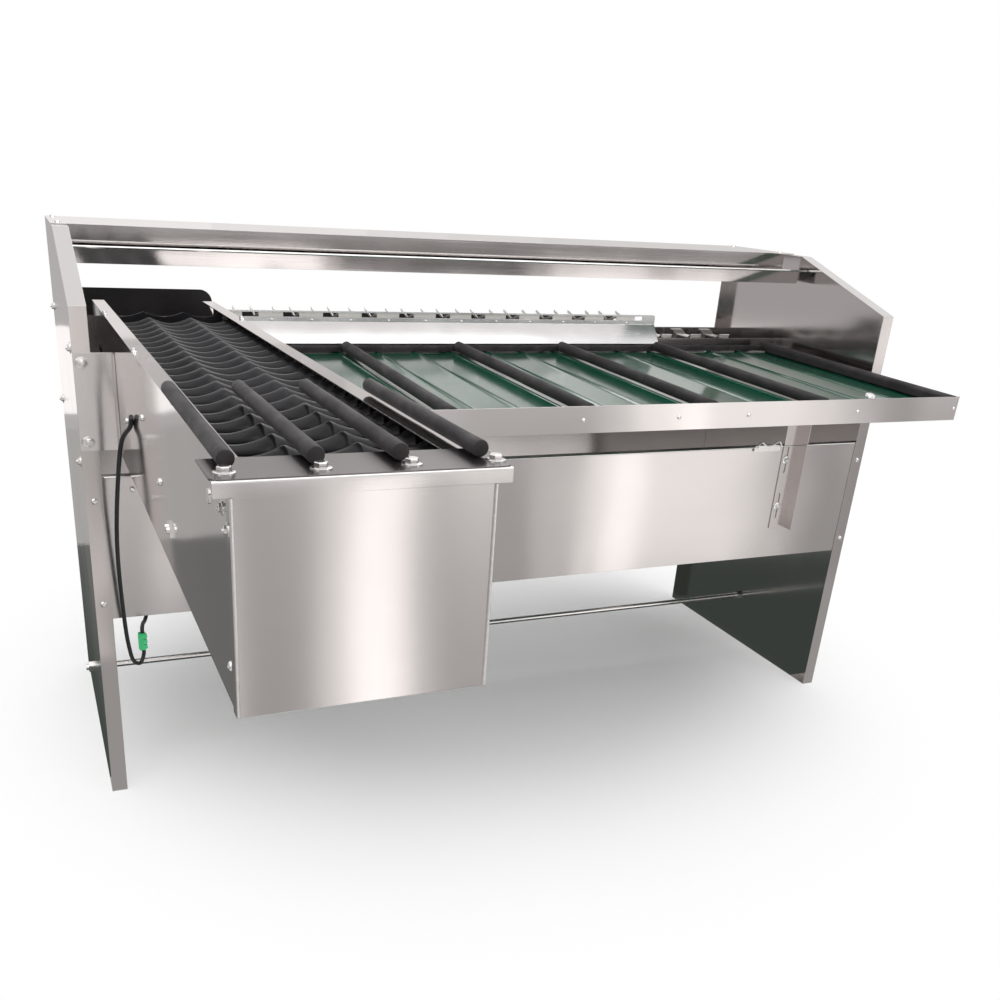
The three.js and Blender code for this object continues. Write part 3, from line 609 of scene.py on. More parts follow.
def smooth_line(points: Sequence[Vector], steps: int) -> list[Vector]:
    """Gives points evenly along the smooth line that the solid leads also follow.

    Args:
        points: The route's points.
        steps: Steps between one point and the next.

    Returns:
        The line's points with both ends.
    """
    line = []
    last = len(points) - 1
    for i in range(last):
        before = points[i - 1] if i > 0 else points[0] * 2 - points[1]
        after = points[i + 2] if i + 2 <= last else points[last] * 2 - points[last - 1]
        here, there = points[i], points[i + 1]
        gaps = [max((b - a).length, 1e-9) ** 0.5
                for a, b in ((before, here), (here, there), (there, after))]
        start = ((here - before) / gaps[0] - (there - before) / (gaps[0] + gaps[1])
                 + (there - here) / gaps[1]) * gaps[1]
        end = ((there - here) / gaps[1] - (after - here) / (gaps[1] + gaps[2])
               + (after - there) / gaps[2]) * gaps[1]
        for k in range(steps):
            t = k / steps
            line.append(here * (2 * t**3 - 3 * t**2 + 1) + start * (t**3 - 2 * t**2 + t)
                        + there * (3 * t**2 - 2 * t**3) + end * (t**3 - t**2))
    line.append(points[last].copy())
    return line


def line_length(points: Sequence[Vector]) -> float:
    """Gives the length of a line of points."""
    return sum((b - a).length for a, b in zip(points, points[1:]))


@dataclass
class Viewpoint:
    """The camera, set by its place, its three turns and its picture's centre."""

    place: Point = (-0.9306, -1.5802, 1.1220)
    yaw: float = 0.4221
    pitch: float = 0.4199
    roll: float = 0.0669
    focal_pixels: float = 1020.251
    centre_pixels: Span = (463.45, 633.61)
    image_pixels: float = 1000.0
    sensor: float = 36.0

    def build(self) -> None:
        """Makes the camera and gives it to the scene."""
        ahead_level = Vector((math.sin(self.yaw), math.cos(self.yaw), 0))
        right_level = Vector((math.cos(self.yaw), -math.sin(self.yaw), 0))
        ahead = math.cos(self.pitch) * ahead_level - math.sin(self.pitch) * UP
        up_level = math.sin(self.pitch) * ahead_level + math.cos(self.pitch) * UP
        right = math.cos(self.roll) * right_level + math.sin(self.roll) * up_level
        up = -math.sin(self.roll) * right_level + math.cos(self.roll) * up_level
        data = bpy.data.cameras.new("viewpoint")
        data.sensor_width = self.sensor
        data.sensor_fit = "HORIZONTAL"
        data.lens = self.focal_pixels * self.sensor / self.image_pixels
        data.shift_x = 0.5 - self.centre_pixels[0] / self.image_pixels
        data.shift_y = self.centre_pixels[1] / self.image_pixels - 0.5
        camera = bpy.data.objects.new("viewpoint", data)
        turn = Matrix((right, up, -ahead)).transposed().to_4x4()
        camera.matrix_world = Matrix.Translation(Vector(self.place)) @ turn
        bpy.context.scene.collection.objects.link(camera)
        bpy.context.scene.camera = camera


@dataclass(frozen=True)
class Card:
    """A flat studio card that is only seen in reflections."""

    name: str
    corners: tuple[Point, Point, Point, Point]
    shade: Colour

    def build(self) -> None:
        """Makes the card, which isn't part of the machine."""
        mesh = bmesh.new()
        mesh.faces.new([mesh.verts.new(Vector(p)) for p in self.corners])
        card = mesh_piece(self.name, mesh)
        material = bpy.data.materials.new(self.name)
        material.use_nodes = True
        tree = material.node_tree
        tree.nodes.clear()
        output = tree.nodes.new("ShaderNodeOutputMaterial")
        mix = tree.nodes.new("ShaderNodeMixShader")
        path = tree.nodes.new("ShaderNodeLightPath")
        clear = tree.nodes.new("ShaderNodeBsdfTransparent")
        glow = tree.nodes.new("ShaderNodeEmission")
        glow.inputs["Color"].default_value = (*self.shade, 1.0)
        tree.links.new(path.outputs["Is Glossy Ray"], mix.inputs["Fac"])
        tree.links.new(clear.outputs["BSDF"], mix.inputs[1])
        tree.links.new(glow.outputs["Emission"], mix.inputs[2])
        tree.links.new(mix.outputs["Shader"], output.inputs["Surface"])
        card.data.materials.append(material)


@dataclass
class ReflectionCards:
    """Grey and white cards round the machine that shape the reflections in its steel.

    A row's steps give the end of each of its cards along X and its brightness. A fan's steps give
    the turn of each of its lines in degrees, and the brightness of the card before that line.
    """

    shelf_grey: Colour = (0.30, 0.285, 0.28)
    pale: Colour = (0.50, 0.485, 0.485)
    floor_grey: Colour = (0.44, 0.43, 0.42)
    floor_dark: Colour = (0.060, 0.072, 0.064)
    floor_dim: Colour = (0.17, 0.17, 0.165)
    near_left: Colour = (0.75, 0.71, 0.69)
    tint: Colour = (1.0, 0.965, 0.95)
    left_x: float = -4.2
    right_x: float = 4.4
    right_start_y: float = -1.2
    front_y: float = -3.6
    back_y: float = 3.2
    nearer: float = 0.05
    top: float = 2.4
    front_ends: Span = (-5.0, 6.0)
    back_ends: Span = (-6.0, 7.0)
    glow_ends: Span = (-1.5, -0.5)
    lip_start: float = -0.9
    front_heights: Span = (0.0, 0.6)
    shelf_heights: Span = (0.6, 0.80)
    lip_heights: Span = (0.57, 0.682)
    back_low_heights: Span = (0.0, 0.9)
    glow_heights: Span = (0.08, 0.45)
    back_heights: Span = (0.9, 1.35)
    floor_height: float = 0.0010
    dark_height: float = 0.0018
    near_height: float = 0.0022
    fan_height: float = 0.0026
    gutter_height: float = 0.9345
    gutter_brightness: float = 0.84
    glow_brightness: float = 1.2
    front_steps: Steps = (
        (-1.3, 0.45), (-0.43, 1.1), (-0.26, 0.95), (0.056, 0.50), (0.19, 0.95), (0.437, 1.7),
        (0.56, 0.74), (1.25, 1.3), (2.0, 0.95), (2.17, 0.80), (2.3, 1.35), (2.8, 1.7),
        (3.62, 1.6), (3.84, 1.3), (4.0, 1.0), (4.12, 0.7), (4.45, 0.42), (6.0, 1.4))
    lip_steps: Steps = (
        (-0.40, 1.6), (-0.19, 0.50), (0.76, 1.6), (0.86, 0.62), (1.25, 0.23), (1.7, 0.18),
        (2.1, 0.15), (2.28, 0.5), (2.5, 1.0), (2.95, 1.15), (3.2, 0.75), (3.4, 1.05),
        (3.62, 1.15), (3.85, 0.85), (4.6, 0.5))
    back_steps: Steps = ((-0.1, 0.92), (0.6, 0.86), (1.0, 0.80), (1.5, 0.76), (7.0, 0.72))
    high_steps: Steps = ((0.5, 0.62), (0.9, 0.74), (7.0, 0.82))
    cover_steps: Steps = (
        (8.0, 0.0), (10.6, 0.95), (15.3, 0.46), (17.3, 0.95), (20.9, 1.8), (22.5, 0.72),
        (28.0, 0.48))
    apron_steps: Steps = (
        (25.0, 0.0), (28.0, 0.44), (30.2, 0.75), (31.9, 1.2), (33.8, 1.7), (39.0, 1.25),
        (40.3, 1.0), (41.8, 0.8), (43.0, 0.50), (48.0, 0.40))

    def build(self) -> None:
        """Sets up the standing cards and the cards on the floor."""
        self.front()
        self.back()
        self.row("card_lip", self.lip_start, self.front_y + self.nearer, self.lip_steps,
                 self.lip_heights)
        self.sides()
        self.floor()

    def front(self) -> None:
        """Stands the cards in front, with the shelf's dark one over the row."""
        start, end = self.front_ends
        self.stand("card_front", (start, self.front_y), (end, self.front_y), self.shelf_heights,
                   self.shelf_grey)
        self.row("card_front", start, self.front_y, self.front_steps, self.front_heights)

    def back(self) -> None:
        """Stands the cards behind the machine in three heights."""
        start, end = self.back_ends
        self.stand("card_back_low", (start, self.back_y), (end, self.back_y),
                   self.back_low_heights, self.pale)
        near = self.back_y - self.nearer
        self.stand("card_back_glow", (self.glow_ends[0], near), (self.glow_ends[1], near),
                   self.glow_heights, self.shade(self.glow_brightness))
        self.row("card_back", start, self.back_y, self.back_steps, self.back_heights)
        self.row("card_back_high", start, self.back_y, self.high_steps,
                 (self.back_heights[1], self.top))

    def sides(self) -> None:
        """Stands the cards to the left and the right of the machine."""
        self.stand("card_left", (self.left_x, self.front_y), (self.left_x, self.back_y),
                   (0.0, self.top), self.pale)
        self.stand("card_right", (self.right_x, self.right_start_y), (self.right_x, self.back_y),
                   (0.0, self.top), self.pale)

    def floor(self) -> None:
        """Lays the cards on the floor and the one under the gutter."""
        dark = self.dark_height
        self.lie("floor_card", (self.left_x, self.front_y), (self.right_x, self.back_y),
                 self.floor_height, self.floor_grey)
        self.lie("floor_card_under", (-0.9, 0.25), (0.849, 1.1), dark, self.floor_dark)
        self.lie("floor_card_left", (-2.4, -0.38), (-0.9, 1.64), dark, self.floor_dim)
        self.lie("floor_card_rear_left", (-0.9, 1.1), (-0.55, 1.66), dark, self.floor_dark)
        self.lie("floor_card_near_left", (-1.7, -3.4), (-0.79, -0.40), self.near_height,
                 self.near_left)
        self.lie("card_under_gutter", (-0.556, 0.502), (0.48, 0.564), self.gutter_height,
                 self.shade(self.gutter_brightness))
        self.fan("floor_cover", (-0.93, -0.02), self.cover_steps, (-0.83, -3.5))
        self.fan("floor_apron", (-0.93, 1.98), self.apron_steps, (-0.45, -3.5))

    def shade(self, value: float) -> Colour:
        """Gives the cards' faintly warm white at a brightness."""
        return tuple(value * part for part in self.tint)

    def row(self, name: str, start: float, y: float, steps: Steps, heights: Span) -> None:
        """Stands a row of cards side by side.

        Args:
            name: The start of the cards' names.
            start: Where the row starts along X.
            y: Where it stands along Y.
            steps: The end along X and the brightness of each card.
            heights: The lower and upper edge.
        """
        for index, (end, value) in enumerate(steps):
            self.stand(f"{name}_{index}", (start, y), (end, y), heights, self.shade(value))
            start = end

    def fan(self, name: str, tip: Span, steps: Steps, reach: Span) -> None:
        """Lays a fan of cards on the floor.

        Args:
            name: The start of the cards' names.
            tip: Where the fan's lines meet.
            steps: The turn of each line, and the brightness of the card before it.
            reach: The nearer and the farther edge along Y.
        """
        for index, ((start, _), (end, value)) in enumerate(zip(steps, steps[1:])):
            self.wedge(f"{name}_{index}", tip, (start, end), reach, self.shade(value))

    def stand(self, name: str, start: Span, end: Span, heights: Span, shade: Colour) -> None:
        """Stands a card between two places, from one height to another.

        Args:
            name: The card's name.
            start: Where it starts on the floor plan.
            end: Where it ends.
            heights: Its lower and upper edge.
            shade: Its colour.
        """
        low, high = heights
        Card(name, ((*start, low), (*end, low), (*end, high), (*start, high)), shade).build()

    def lie(self, name: str, low: Span, high: Span, height: float, shade: Colour) -> None:
        """Lays a level card.

        Args:
            name: The card's name.
            low: Its corner at the front left.
            high: Its corner at the back right.
            height: How high it lies.
            shade: Its colour.
        """
        Card(name, ((low[0], low[1], height), (high[0], low[1], height),
                    (high[0], high[1], height), (low[0], high[1], height)), shade).build()

    def wedge(self, name: str, tip: Span, degrees: Span, reach: Span, shade: Colour) -> None:
        """Lays a card on the floor between two lines that fan out from a tip.

        Args:
            name: The card's name.
            tip: Where the lines meet.
            degrees: The turn of each line from the front towards the right.
            reach: The nearer and the farther edge along Y.
            shade: The card's colour.
        """
        corners = []
        for angle, y in ((degrees[0], reach[0]), (degrees[1], reach[0]), (degrees[1], reach[1]),
                         (degrees[0], reach[1])):
            x = tip[0] + math.tan(math.radians(angle)) * (tip[1] - y)
            corners.append((x, y, self.fan_height))
        Card(name, tuple(corners), shade).build()


@dataclass(frozen=True)
class Lamp:
    """A soft square lamp that faces a point, with its size in metres and its power in watts."""

    name: str
    place: Point
    target: Point
    size: float
    power: float

    def build(self) -> None:
        """Makes the lamp."""
        data = bpy.data.lights.new(self.name, "AREA")
        data.size = self.size
        data.energy = self.power
        lamp = bpy.data.objects.new(self.name, data)
        place = Vector(self.place)
        turn = (Vector(self.target) - place).to_track_quat("-Z", "Y").to_matrix().to_4x4()
        lamp.matrix_world = Matrix.Translation(place) @ turn
        bpy.context.scene.collection.objects.link(lamp)


@dataclass
class Studio:
    """The pale floor, the white surroundings and the soft lamps."""

    floor_half: float = 80.0
    floor_colour: Colour = (0.93, 0.93, 0.93)
    fade_centre: Point = (0.05, 0.62, 0.0)
    fade_start: float = 0.5
    fade_end: float = 1.25
    surround: float = 0.78
    lamps: tuple[Lamp, ...] = (
        Lamp("overhead_panel", (0.0, -0.8, 3.4), (0.0, 0.1, 0.6), 3.2, 38.0),
        Lamp("left_panel", (-3.2, -2.4, 2.6), (0.0, 0.0, 0.6), 1.6, 22.0),
        Lamp("right_panel", (2.6, -3.2, 2.8), (0.2, 0.0, 0.6), 1.4, 20.0),
        Lamp("rear_panel", (0.8, 3.6, 2.8), (0.0, 0.2, 0.7), 2.0, 18.0))

    def build(self) -> None:
        """Builds the floor, the world, the lamps and the cards."""
        self.floor()
        self.world()
        for lamp in self.lamps:
            lamp.build()
        ReflectionCards().build()
        bpy.context.scene.view_settings.view_transform = "Standard"

    def floor(self) -> None:
        """Makes the floor, which keeps the machine's shadow and fades to white far out."""
        mesh = bmesh.new()
        half = self.floor_half
        corners = ((-half, -half), (half, -half), (half, half), (-half, half))
        mesh.faces.new([mesh.verts.new((x, y, 0.0)) for x, y in corners])
        floor = mesh_piece("studio_floor", mesh)
        shader = Shader("studio_floor")
        shader.set(Base_Color=(*self.floor_colour, 1.0), Roughness=0.9, Specular_IOR_Level=0.1)
        where = shader.node("TexCoord")
        length = shader.node("VectorMath", operation="DISTANCE")
        shader.link(where.outputs["Object"], length.inputs[0])
        length.inputs[1].default_value = self.fade_centre
        far = shader.node("MapRange", interpolation_type="SMOOTHSTEP", From_Min=self.fade_start,
                          From_Max=self.fade_end, To_Min=0.0, To_Max=1.0)
        shader.link(length.outputs["Value"], far.inputs["Value"])
        path = shader.node("LightPath")
        seen = self.backdrop_rays(shader.tree, path)
        amount = shader.node("Math", operation="MULTIPLY")
        shader.link(far.outputs["Result"], amount.inputs[0])
        shader.link(seen, amount.inputs[1])
        white = shader.node("Emission", Strength=1.0)
        white.inputs["Color"].default_value = (1, 1, 1, 1)
        mix = shader.node("MixShader")
        shader.link(amount.outputs["Value"], mix.inputs["Fac"])
        shader.link(shader.surface.outputs["BSDF"], mix.inputs[1])
        shader.link(white.outputs["Emission"], mix.inputs[2])
        shader.link(mix.outputs["Shader"], shader.output.inputs["Surface"])
        floor.data.materials.append(shader.material)

    @staticmethod
    def backdrop_rays(tree: bpy.types.NodeTree, path: bpy.types.Node) -> bpy.types.NodeSocket:
        """Gives 1 for the rays that see the white backdrop: camera, glossy and transmission.

        Args:
            tree: The node tree.
            path: Its light path node.

        Returns:
            1 for those rays and 0 for the others.
        """
        first = tree.nodes.new("ShaderNodeMath")
        second = tree.nodes.new("ShaderNodeMath")
        first.operation = second.operation = "MAXIMUM"
        tree.links.new(path.outputs["Is Camera Ray"], first.inputs[0])
        tree.links.new(path.outputs["Is Glossy Ray"], first.inputs[1])
        tree.links.new(first.outputs["Value"], second.inputs[0])
        tree.links.new(path.outputs["Is Transmission Ray"], second.inputs[1])
        return second.outputs["Value"]

    def world(self) -> None:
        """Makes surroundings that are white to the eye and in reflections."""
        world = bpy.data.worlds.new("studio")
        world.use_nodes = True
        tree = world.node_tree
        tree.nodes.clear()
        output = tree.nodes.new("ShaderNodeOutputWorld")
        mix = tree.nodes.new("ShaderNodeMixShader")
        seen = tree.nodes.new("ShaderNodeBackground")
        light = tree.nodes.new("ShaderNodeBackground")
        path = tree.nodes.new("ShaderNodeLightPath")
        for background, strength in ((seen, 1.0), (light, self.surround)):
            background.inputs["Color"].default_value = (1, 1, 1, 1)
            background.inputs["Strength"].default_value = strength
        tree.links.new(self.backdrop_rays(tree, path), mix.inputs["Fac"])
        tree.links.new(light.outputs["Background"], mix.inputs[1])
        tree.links.new(seen.outputs["Background"], mix.inputs[2])
        tree.links.new(mix.outputs["Shader"], output.inputs["Surface"])
        bpy.context.scene.world = world


@dataclass
class Leads:
    """Two leads and the green plug that joins them, in millimetres but for the leads' radius."""

    radius: float = 0.0035
    route_steps: int = 6
    wall_x: float = 59.2
    plug_x: float = 74.4
    plug_y: float = -24.0
    plug_bottom: float = 306.0
    plug_height: float = 32.0
    plug_width: float = 15.0
    plug_depth: float = 11.0
    foot_chamfer: float = 1.2
    shoulder: float = 10.0
    neck: float = 8.4
    lobe_zs: tuple[float, ...] = (5.6, 16.0, 26.4)
    lobe_radius: float = 4.0
    lobe_half_height: float = 4.6
    lobe_half_turn: float = 80.0
    well_from_back: float = 5.0
    gap: float = 0.3
    straight: float = 9.0

    def infeed_route(self) -> list[Vector]:
        """Gives the route of the lead that hangs from the infeed's wall.

        Returns:
            The route's points.
        """
        return [corner(self.wall_x, -268, 783), corner(self.wall_x, -247, 765),
                corner(50, -200, 733.5), corner(42.9, -160, 661), corner(37, -120, 550),
                corner(40, -80, 428), corner(47, -58, 330), corner(56, -40, 290),
                corner(67, -30, 282),
                corner(self.plug_x, self.plug_y, self.plug_bottom - self.gap - self.straight),
                corner(self.plug_x, self.plug_y, self.plug_bottom - self.gap)]

    def body_route(self) -> list[Vector]:
        """Gives the route of the lead that goes up behind the apron.

        Returns:
            The route's points.
        """
        top = self.plug_bottom + self.plug_height + self.gap
        return [corner(self.plug_x, self.plug_y, top),
                corner(self.plug_x, self.plug_y, top + self.straight), corner(77, -14, 351),
                corner(82, 2, 350), corner(87, 20, 352), corner(91, 32, 368), corner(92, 32, 400),
                corner(92, 32, 440)]

    def lead(self, name: str, node: str, route: list[Vector], exits_last: bool,
             plug: bpy.types.Object) -> None:
        """Args:
            name: The piece's name.
            node: The node it stands for.
            route: Its points.
            exits_last: True where its last point is the one at which it leaves the machine.
            plug: Not used.
        """
        points = smooth_line(route, self.route_steps)
        if exits_last:
            points.reverse()
        data = bpy.data.curves.new(name, "CURVE")
        data.dimensions = "3D"
        data.bevel_depth = self.radius
        data.bevel_resolution = 5
        data.use_fill_caps = True
        spline = data.splines.new("POLY")
        spline.points.add(len(points) - 1)
        for target, point in zip(spline.points, points):
            target.co = (*point, 1.0)
        lead = bpy.data.objects.new(name, data)
        bpy.context.scene.collection.objects.link(lead)
        dress(lead, PALETTE.sheath)
        declare(lead, "lead_black", node)
        LOG.info("%s: %.3f m long", name, line_length(points))

    def plug_outline(self) -> list[Span]:
        """Gives the plug's side view: a straight back and three round lobes.

        Returns:
            X and the height over the plug's foot of each corner, in millimetres.
        """
        back = self.plug_x - self.plug_width / 2
        middle_x = self.plug_x + self.plug_width / 2 - self.lobe_radius
        outline = [(back + 1.0, 0.0), (back + self.shoulder, 0.0)]
        for middle in self.lobe_zs:
            outline.append((back + self.neck, middle - self.lobe_half_height))
            for step in range(9):
                angle = math.radians(self.lobe_half_turn * (step / 4 - 1))
                outline.append((middle_x + self.lobe_radius * math.cos(angle),
                                middle + self.lobe_radius * math.sin(angle)))
            outline.append((back + self.neck, middle + self.lobe_half_height))
        return outline + [(back + self.shoulder, self.plug_height),
                          (back + 1.0, self.plug_height),
                          (back, self.plug_height - self.foot_chamfer),
                          (back, self.foot_chamfer)]

    def plug(self) -> bpy.types.Object:
        """Builds the terminal plug, a body with three lobes and three screw wells.

        Returns:
            The plug.
        """
        front = self.plug_y - self.plug_depth / 2
        mesh = bmesh.new()
        points = [corner(x, front, self.plug_bottom + z) for x, z in self.plug_outline()]
        add_prism(mesh, points, Vector((0, self.plug_depth, 0)) * MM)
        sharp = [edge for edge in mesh.edges if edge.calc_face_angle(0.0) > 1.2]
        bmesh.ops.bevel(mesh, geom=sharp, offset=0.0005, segments=2, affect="EDGES")
        well = [(0, -0.2), (2.6, -0.2), (2.6, 0.5), (1.9, 0.6), (1.8, 0.1), (0, 0.0)]
        for middle in self.lobe_zs:
            place = corner(self.plug_x - self.plug_width / 2 + self.well_from_back, front,
                           self.plug_bottom + middle)
            add_lathe(mesh, in_metres(well), 16, basis(place, TO_FRONT))
        plug = mesh_piece("plug_body", mesh, 35)
        dress(plug, PALETTE.plug)
        declare(plug, "plug_green", "lead_plug")
        return plug

    def build(self) -> None:
        """Builds the plug and both leads."""
        plug = self.plug()
        self.lead("lead_to_infeed", "infeed_lead", self.infeed_route(), False, plug)
        self.lead("lead_to_body", "body_lead", self.body_route(), True, plug)


@dataclass
class Slope:
    """A sub-assembly's own level axes, turned about the machine's X axis and put in place."""

    origin: Vector
    angle: float

    def at(self, x: float, y: float, z: float) -> Vector:
        """Turns a place in the level axes, in millimetres, into the machine's frame."""
        turned = Matrix.Rotation(self.angle, 3, "X") @ Vector((0, y, z))
        return Vector((x, 0, 0)) * MM + turned * MM + self.origin

    def way(self, x: float, y: float, z: float) -> Vector:
        """Turns a direction in the level axes into the machine's frame."""
        return Matrix.Rotation(self.angle, 3, "X") @ Vector((x, y, z))


INFEED = Slope(corner(0, -998, 683), math.radians(-1.2))
TRAY = Slope(corner(0, -260, 733), math.radians(1.0))


@dataclass
class Fasteners:
    """A group of small fasteners in one mesh that rides on the machine's frame."""

    name: str
    sides: int = 20
    mesh: bmesh.types.BMesh = field(default_factory=bmesh.new)

    def washer(self, place: Vector, facing: Vector, radius: float, height: float) -> None:
        """Adds a flat washer whose back lies on the place.

        Args:
            place: The middle of its back.
            facing: The way that its head faces.
            radius: Its radius in millimetres.
            height: Its height in millimetres.
        """
        profile = [(0, 0), (radius, 0), (radius, 0.8 * height), (0.94 * radius, height),
                   (0, height)]
        add_lathe(self.mesh, in_metres(profile), self.sides, basis(place, facing))

    def dome_screw(self, place: Vector, facing: Vector, radius: float, height: float) -> None:
        """Adds a low domed head with a small recess.

        Args:
            place: The middle of its back.
            facing: The way that its head faces.
            radius: Its radius in millimetres.
            height: Its height in millimetres.
        """
        profile = [(0, -0.2 * height), (radius, -0.2 * height), (radius, 0.25 * height),
                   (0.93 * radius, 0.6 * height), (0.75 * radius, 0.86 * height),
                   (0.42 * radius, height), (0.36 * radius, 0.55 * height), (0, 0.5 * height)]
        add_lathe(self.mesh, in_metres(profile), self.sides, basis(place, facing))

    def hex_head(self, place: Vector, facing: Vector, radius: float, height: float) -> None:
        """Adds a six-sided head or nut with a chamfered top.

        Args:
            place: The middle of its back.
            facing: The way that its head faces.
            radius: Its radius in millimetres.
            height: Its height in millimetres.
        """
        profile = [(0, 0), (radius, 0), (radius, 0.84 * height), (0.86 * radius, height),
                   (0, height)]
        add_lathe(self.mesh, in_metres(profile), 6, basis(place, facing))

    def bolt(self, place: Vector, facing: Vector, radius: float) -> None:
        """Adds a washer, a hexagon head and the stub of its thread.

        Args:
            place: The middle of its back.
            facing: The way that its head faces.
            radius: The size that its parts follow, in millimetres.
        """
        way = facing.normalized()
        self.washer(place, way, 1.75 * radius, 0.25 * radius)
        self.hex_head(place + way * 0.25 * radius * MM, way, 1.1 * radius, 0.7 * radius)
        stub = [(0, 0), (0.55 * radius, 0), (0.55 * radius, 0.35 * radius),
                (0.45 * radius, 0.45 * radius), (0, 0.45 * radius)]
        add_lathe(self.mesh, in_metres(stub), self.sides,
                  basis(place + way * 0.95 * radius * MM, way))

    def finish(self) -> None:
        """Makes the group's object, dresses it and lets it ride."""
        piece = mesh_piece(self.name, self.mesh, 35)
        dress(piece, PALETTE.bright)
        declare(piece, "stainless")
        LOG.info("%s made", self.name)


@dataclass
class FrameStand:
    """The machine's frame: its sheets, black edging, rolled hems, fasteners and latch.

    Places and sizes are in millimetres, and a screw's size is its head's radius and height.
    """

    width: float = 1700.0
    top: float = 1000.0
    hem_steps: int = 40
    apron_hem_ends: Span = (33.0, 1667.0)
    apron_hem_y: float = -0.6
    apron_hem_z: float = 620.8
    apron_hem_radius: float = 1.6
    lip_margin: float = 4.0
    lip_y: float = 302.8
    lip_z: float = 965.6
    lip_radius: float = 2.4
    trim_ends: Span = (336.0, 1302.0)
    trim_y: float = 518.5
    trim_foot: float = 796.0
    trim_slot_top: float = 804.0
    trim_top: float = 829.0
    trim_half: float = 3.2
    trim_slot_half: float = 1.4
    trim_crown: float = 3.0
    flange_screw_inset: float = 14.0
    flange_screw_zs: tuple[float, ...] = (390.0, 580.0)
    shelf_screw_ys: tuple[float, ...] = (400.0, 590.0)
    panel_bolt_ys: tuple[float, ...] = (40.0, 560.0)
    panel_bolt_zs: tuple[float, ...] = (829.0, 640.0)
    rod_y: float = 338.0
    rod_z: float = 109.0
    bolt_radius: float = 5.2
    bracket_bolt_x: float = 13.0
    bracket_face_y: float = -2.3
    bracket_bolt_zs: tuple[float, ...] = (683.5, 812.5)
    bracket_bolt_radius: float = 5.4
    apron_face_y: float = -2.0
    apron_screws: tuple[Span, ...] = ((78.2, 597.4), (125.5, 609.1))
    flange_screw: Span = (5.5, 3.2)
    shelf_screw: Span = (5.0, 3.0)
    apron_screw: Span = (4.2, 2.6)
    latch_foot_y: float = -0.5
    latch_foot_depth: float = 2.0
    latch_wire_y: float = -6.0
    latch_wire_radius: float = 1.6
    latch_foot: tuple[Span, ...] = ((1385, 612), (1455, 612), (1455, 625), (1385, 625))
    latch_wire: tuple[Span, ...] = ((1388, 620), (1398, 633), (1412, 626), (1432, 627), (1447, 633),
                                    (1456, 622))

    def build(self) -> None:
        """Dresses the frame's sheets and adds its trim, hems and fasteners."""
        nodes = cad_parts
        for name in ("side_panel_left", "side_panel_right"):
            dress(nodes[name], PALETTE.steel_z)
        for name in ("front_apron", "rear_panel", "infeed_bracket"):
            dress(nodes[name], PALETTE.steel_x)
        # The trough's darker steel is painted shade.
        dress(nodes["beam_trough"], PALETTE.trough)
        dress(nodes["top_shelf"], PALETTE.shelf)
        dress(nodes["tie_rod"], PALETTE.bright)
        dress(nodes["end_guard"], PALETTE.guard)
        self.trim()
        self.hem("apron_hem", self.apron_hem_ends, self.apron_hem_y, self.apron_hem_z,
                 self.apron_hem_radius)
        self.hem("gutter_hem", (self.lip_margin, self.width - self.lip_margin), self.lip_y,
                 self.lip_z, self.lip_radius)
        self.fasteners()

    def trim(self) -> None:
        """Builds the black edging that clips over the trough's rear edge behind the pans."""
        middle, foot, half, slot = self.trim_y, self.trim_foot, self.trim_half, self.trim_slot_half
        crown_foot = self.trim_top - self.trim_crown
        outline = [(middle + slot, foot), (middle + half, foot)]
        for step in range(7):
            angle = math.pi * step / 6
            outline.append((middle + half * math.cos(angle),
                            crown_foot + self.trim_crown * math.sin(angle)))
        outline += [(middle - half, foot), (middle - slot, foot),
                    (middle - slot, self.trim_slot_top), (middle + slot, self.trim_slot_top)]
        start, end = self.trim_ends
        mesh = bmesh.new()
        add_prism(mesh, [corner(start, y, z) for y, z in outline], TO_RIGHT * (end - start) * MM)
        trim = mesh_piece("trough_edge_trim", mesh, 35)
        dress(trim, PALETTE.trim)
        declare(trim, "black_plastic")

    def hem(self, name: str, ends: Span, y: float, z: float, radius: float) -> None:
        """Builds the rolled edge of a long sheet.

        Args:
            name: The hem's name.
            ends: Where it starts and ends along X, in millimetres.
            y: Its middle's place behind the front of the side panels, in millimetres.
            z: Its middle's height.
            radius: Its radius.
        """
        start, end = ends
        points = [corner(start + (end - start) * step / self.hem_steps, y, z)
                  for step in range(self.hem_steps + 1)]
        mesh = bmesh.new()
        add_tube(mesh, points, radius * MM, 12)
        hem = mesh_piece(name, mesh)
        dress(hem, PALETTE.bright)
        declare(hem, "stainless")

    def fasteners(self) -> None:
        """Adds the flange screws, shelf screws, panel bolts, rod ends and bracket bolts."""
        group = Fasteners("frame_fasteners")
        for x in (self.flange_screw_inset, self.width - self.flange_screw_inset):
            for z in self.flange_screw_zs:
                group.dome_screw(corner(x, 0, z), TO_FRONT, *self.flange_screw)
            for y in self.shelf_screw_ys:
                group.dome_screw(corner(x, y, self.top), UP, *self.shelf_screw)
        for x, way in ((0.0, TO_LEFT), (self.width, TO_RIGHT)):
            for y in self.panel_bolt_ys:
                for z in self.panel_bolt_zs:
                    group.bolt(corner(x, y, z), way, self.bolt_radius)
            group.bolt(corner(x, self.rod_y, self.rod_z), way, self.bolt_radius)
        for z in self.bracket_bolt_zs:
            group.bolt(corner(self.bracket_bolt_x, self.bracket_face_y, z), TO_FRONT,
                       self.bracket_bolt_radius)
        for x, z in self.apron_screws:
            group.dome_screw(corner(x, self.apron_face_y, z), TO_FRONT, *self.apron_screw)
        self.latch(group)
        group.finish()

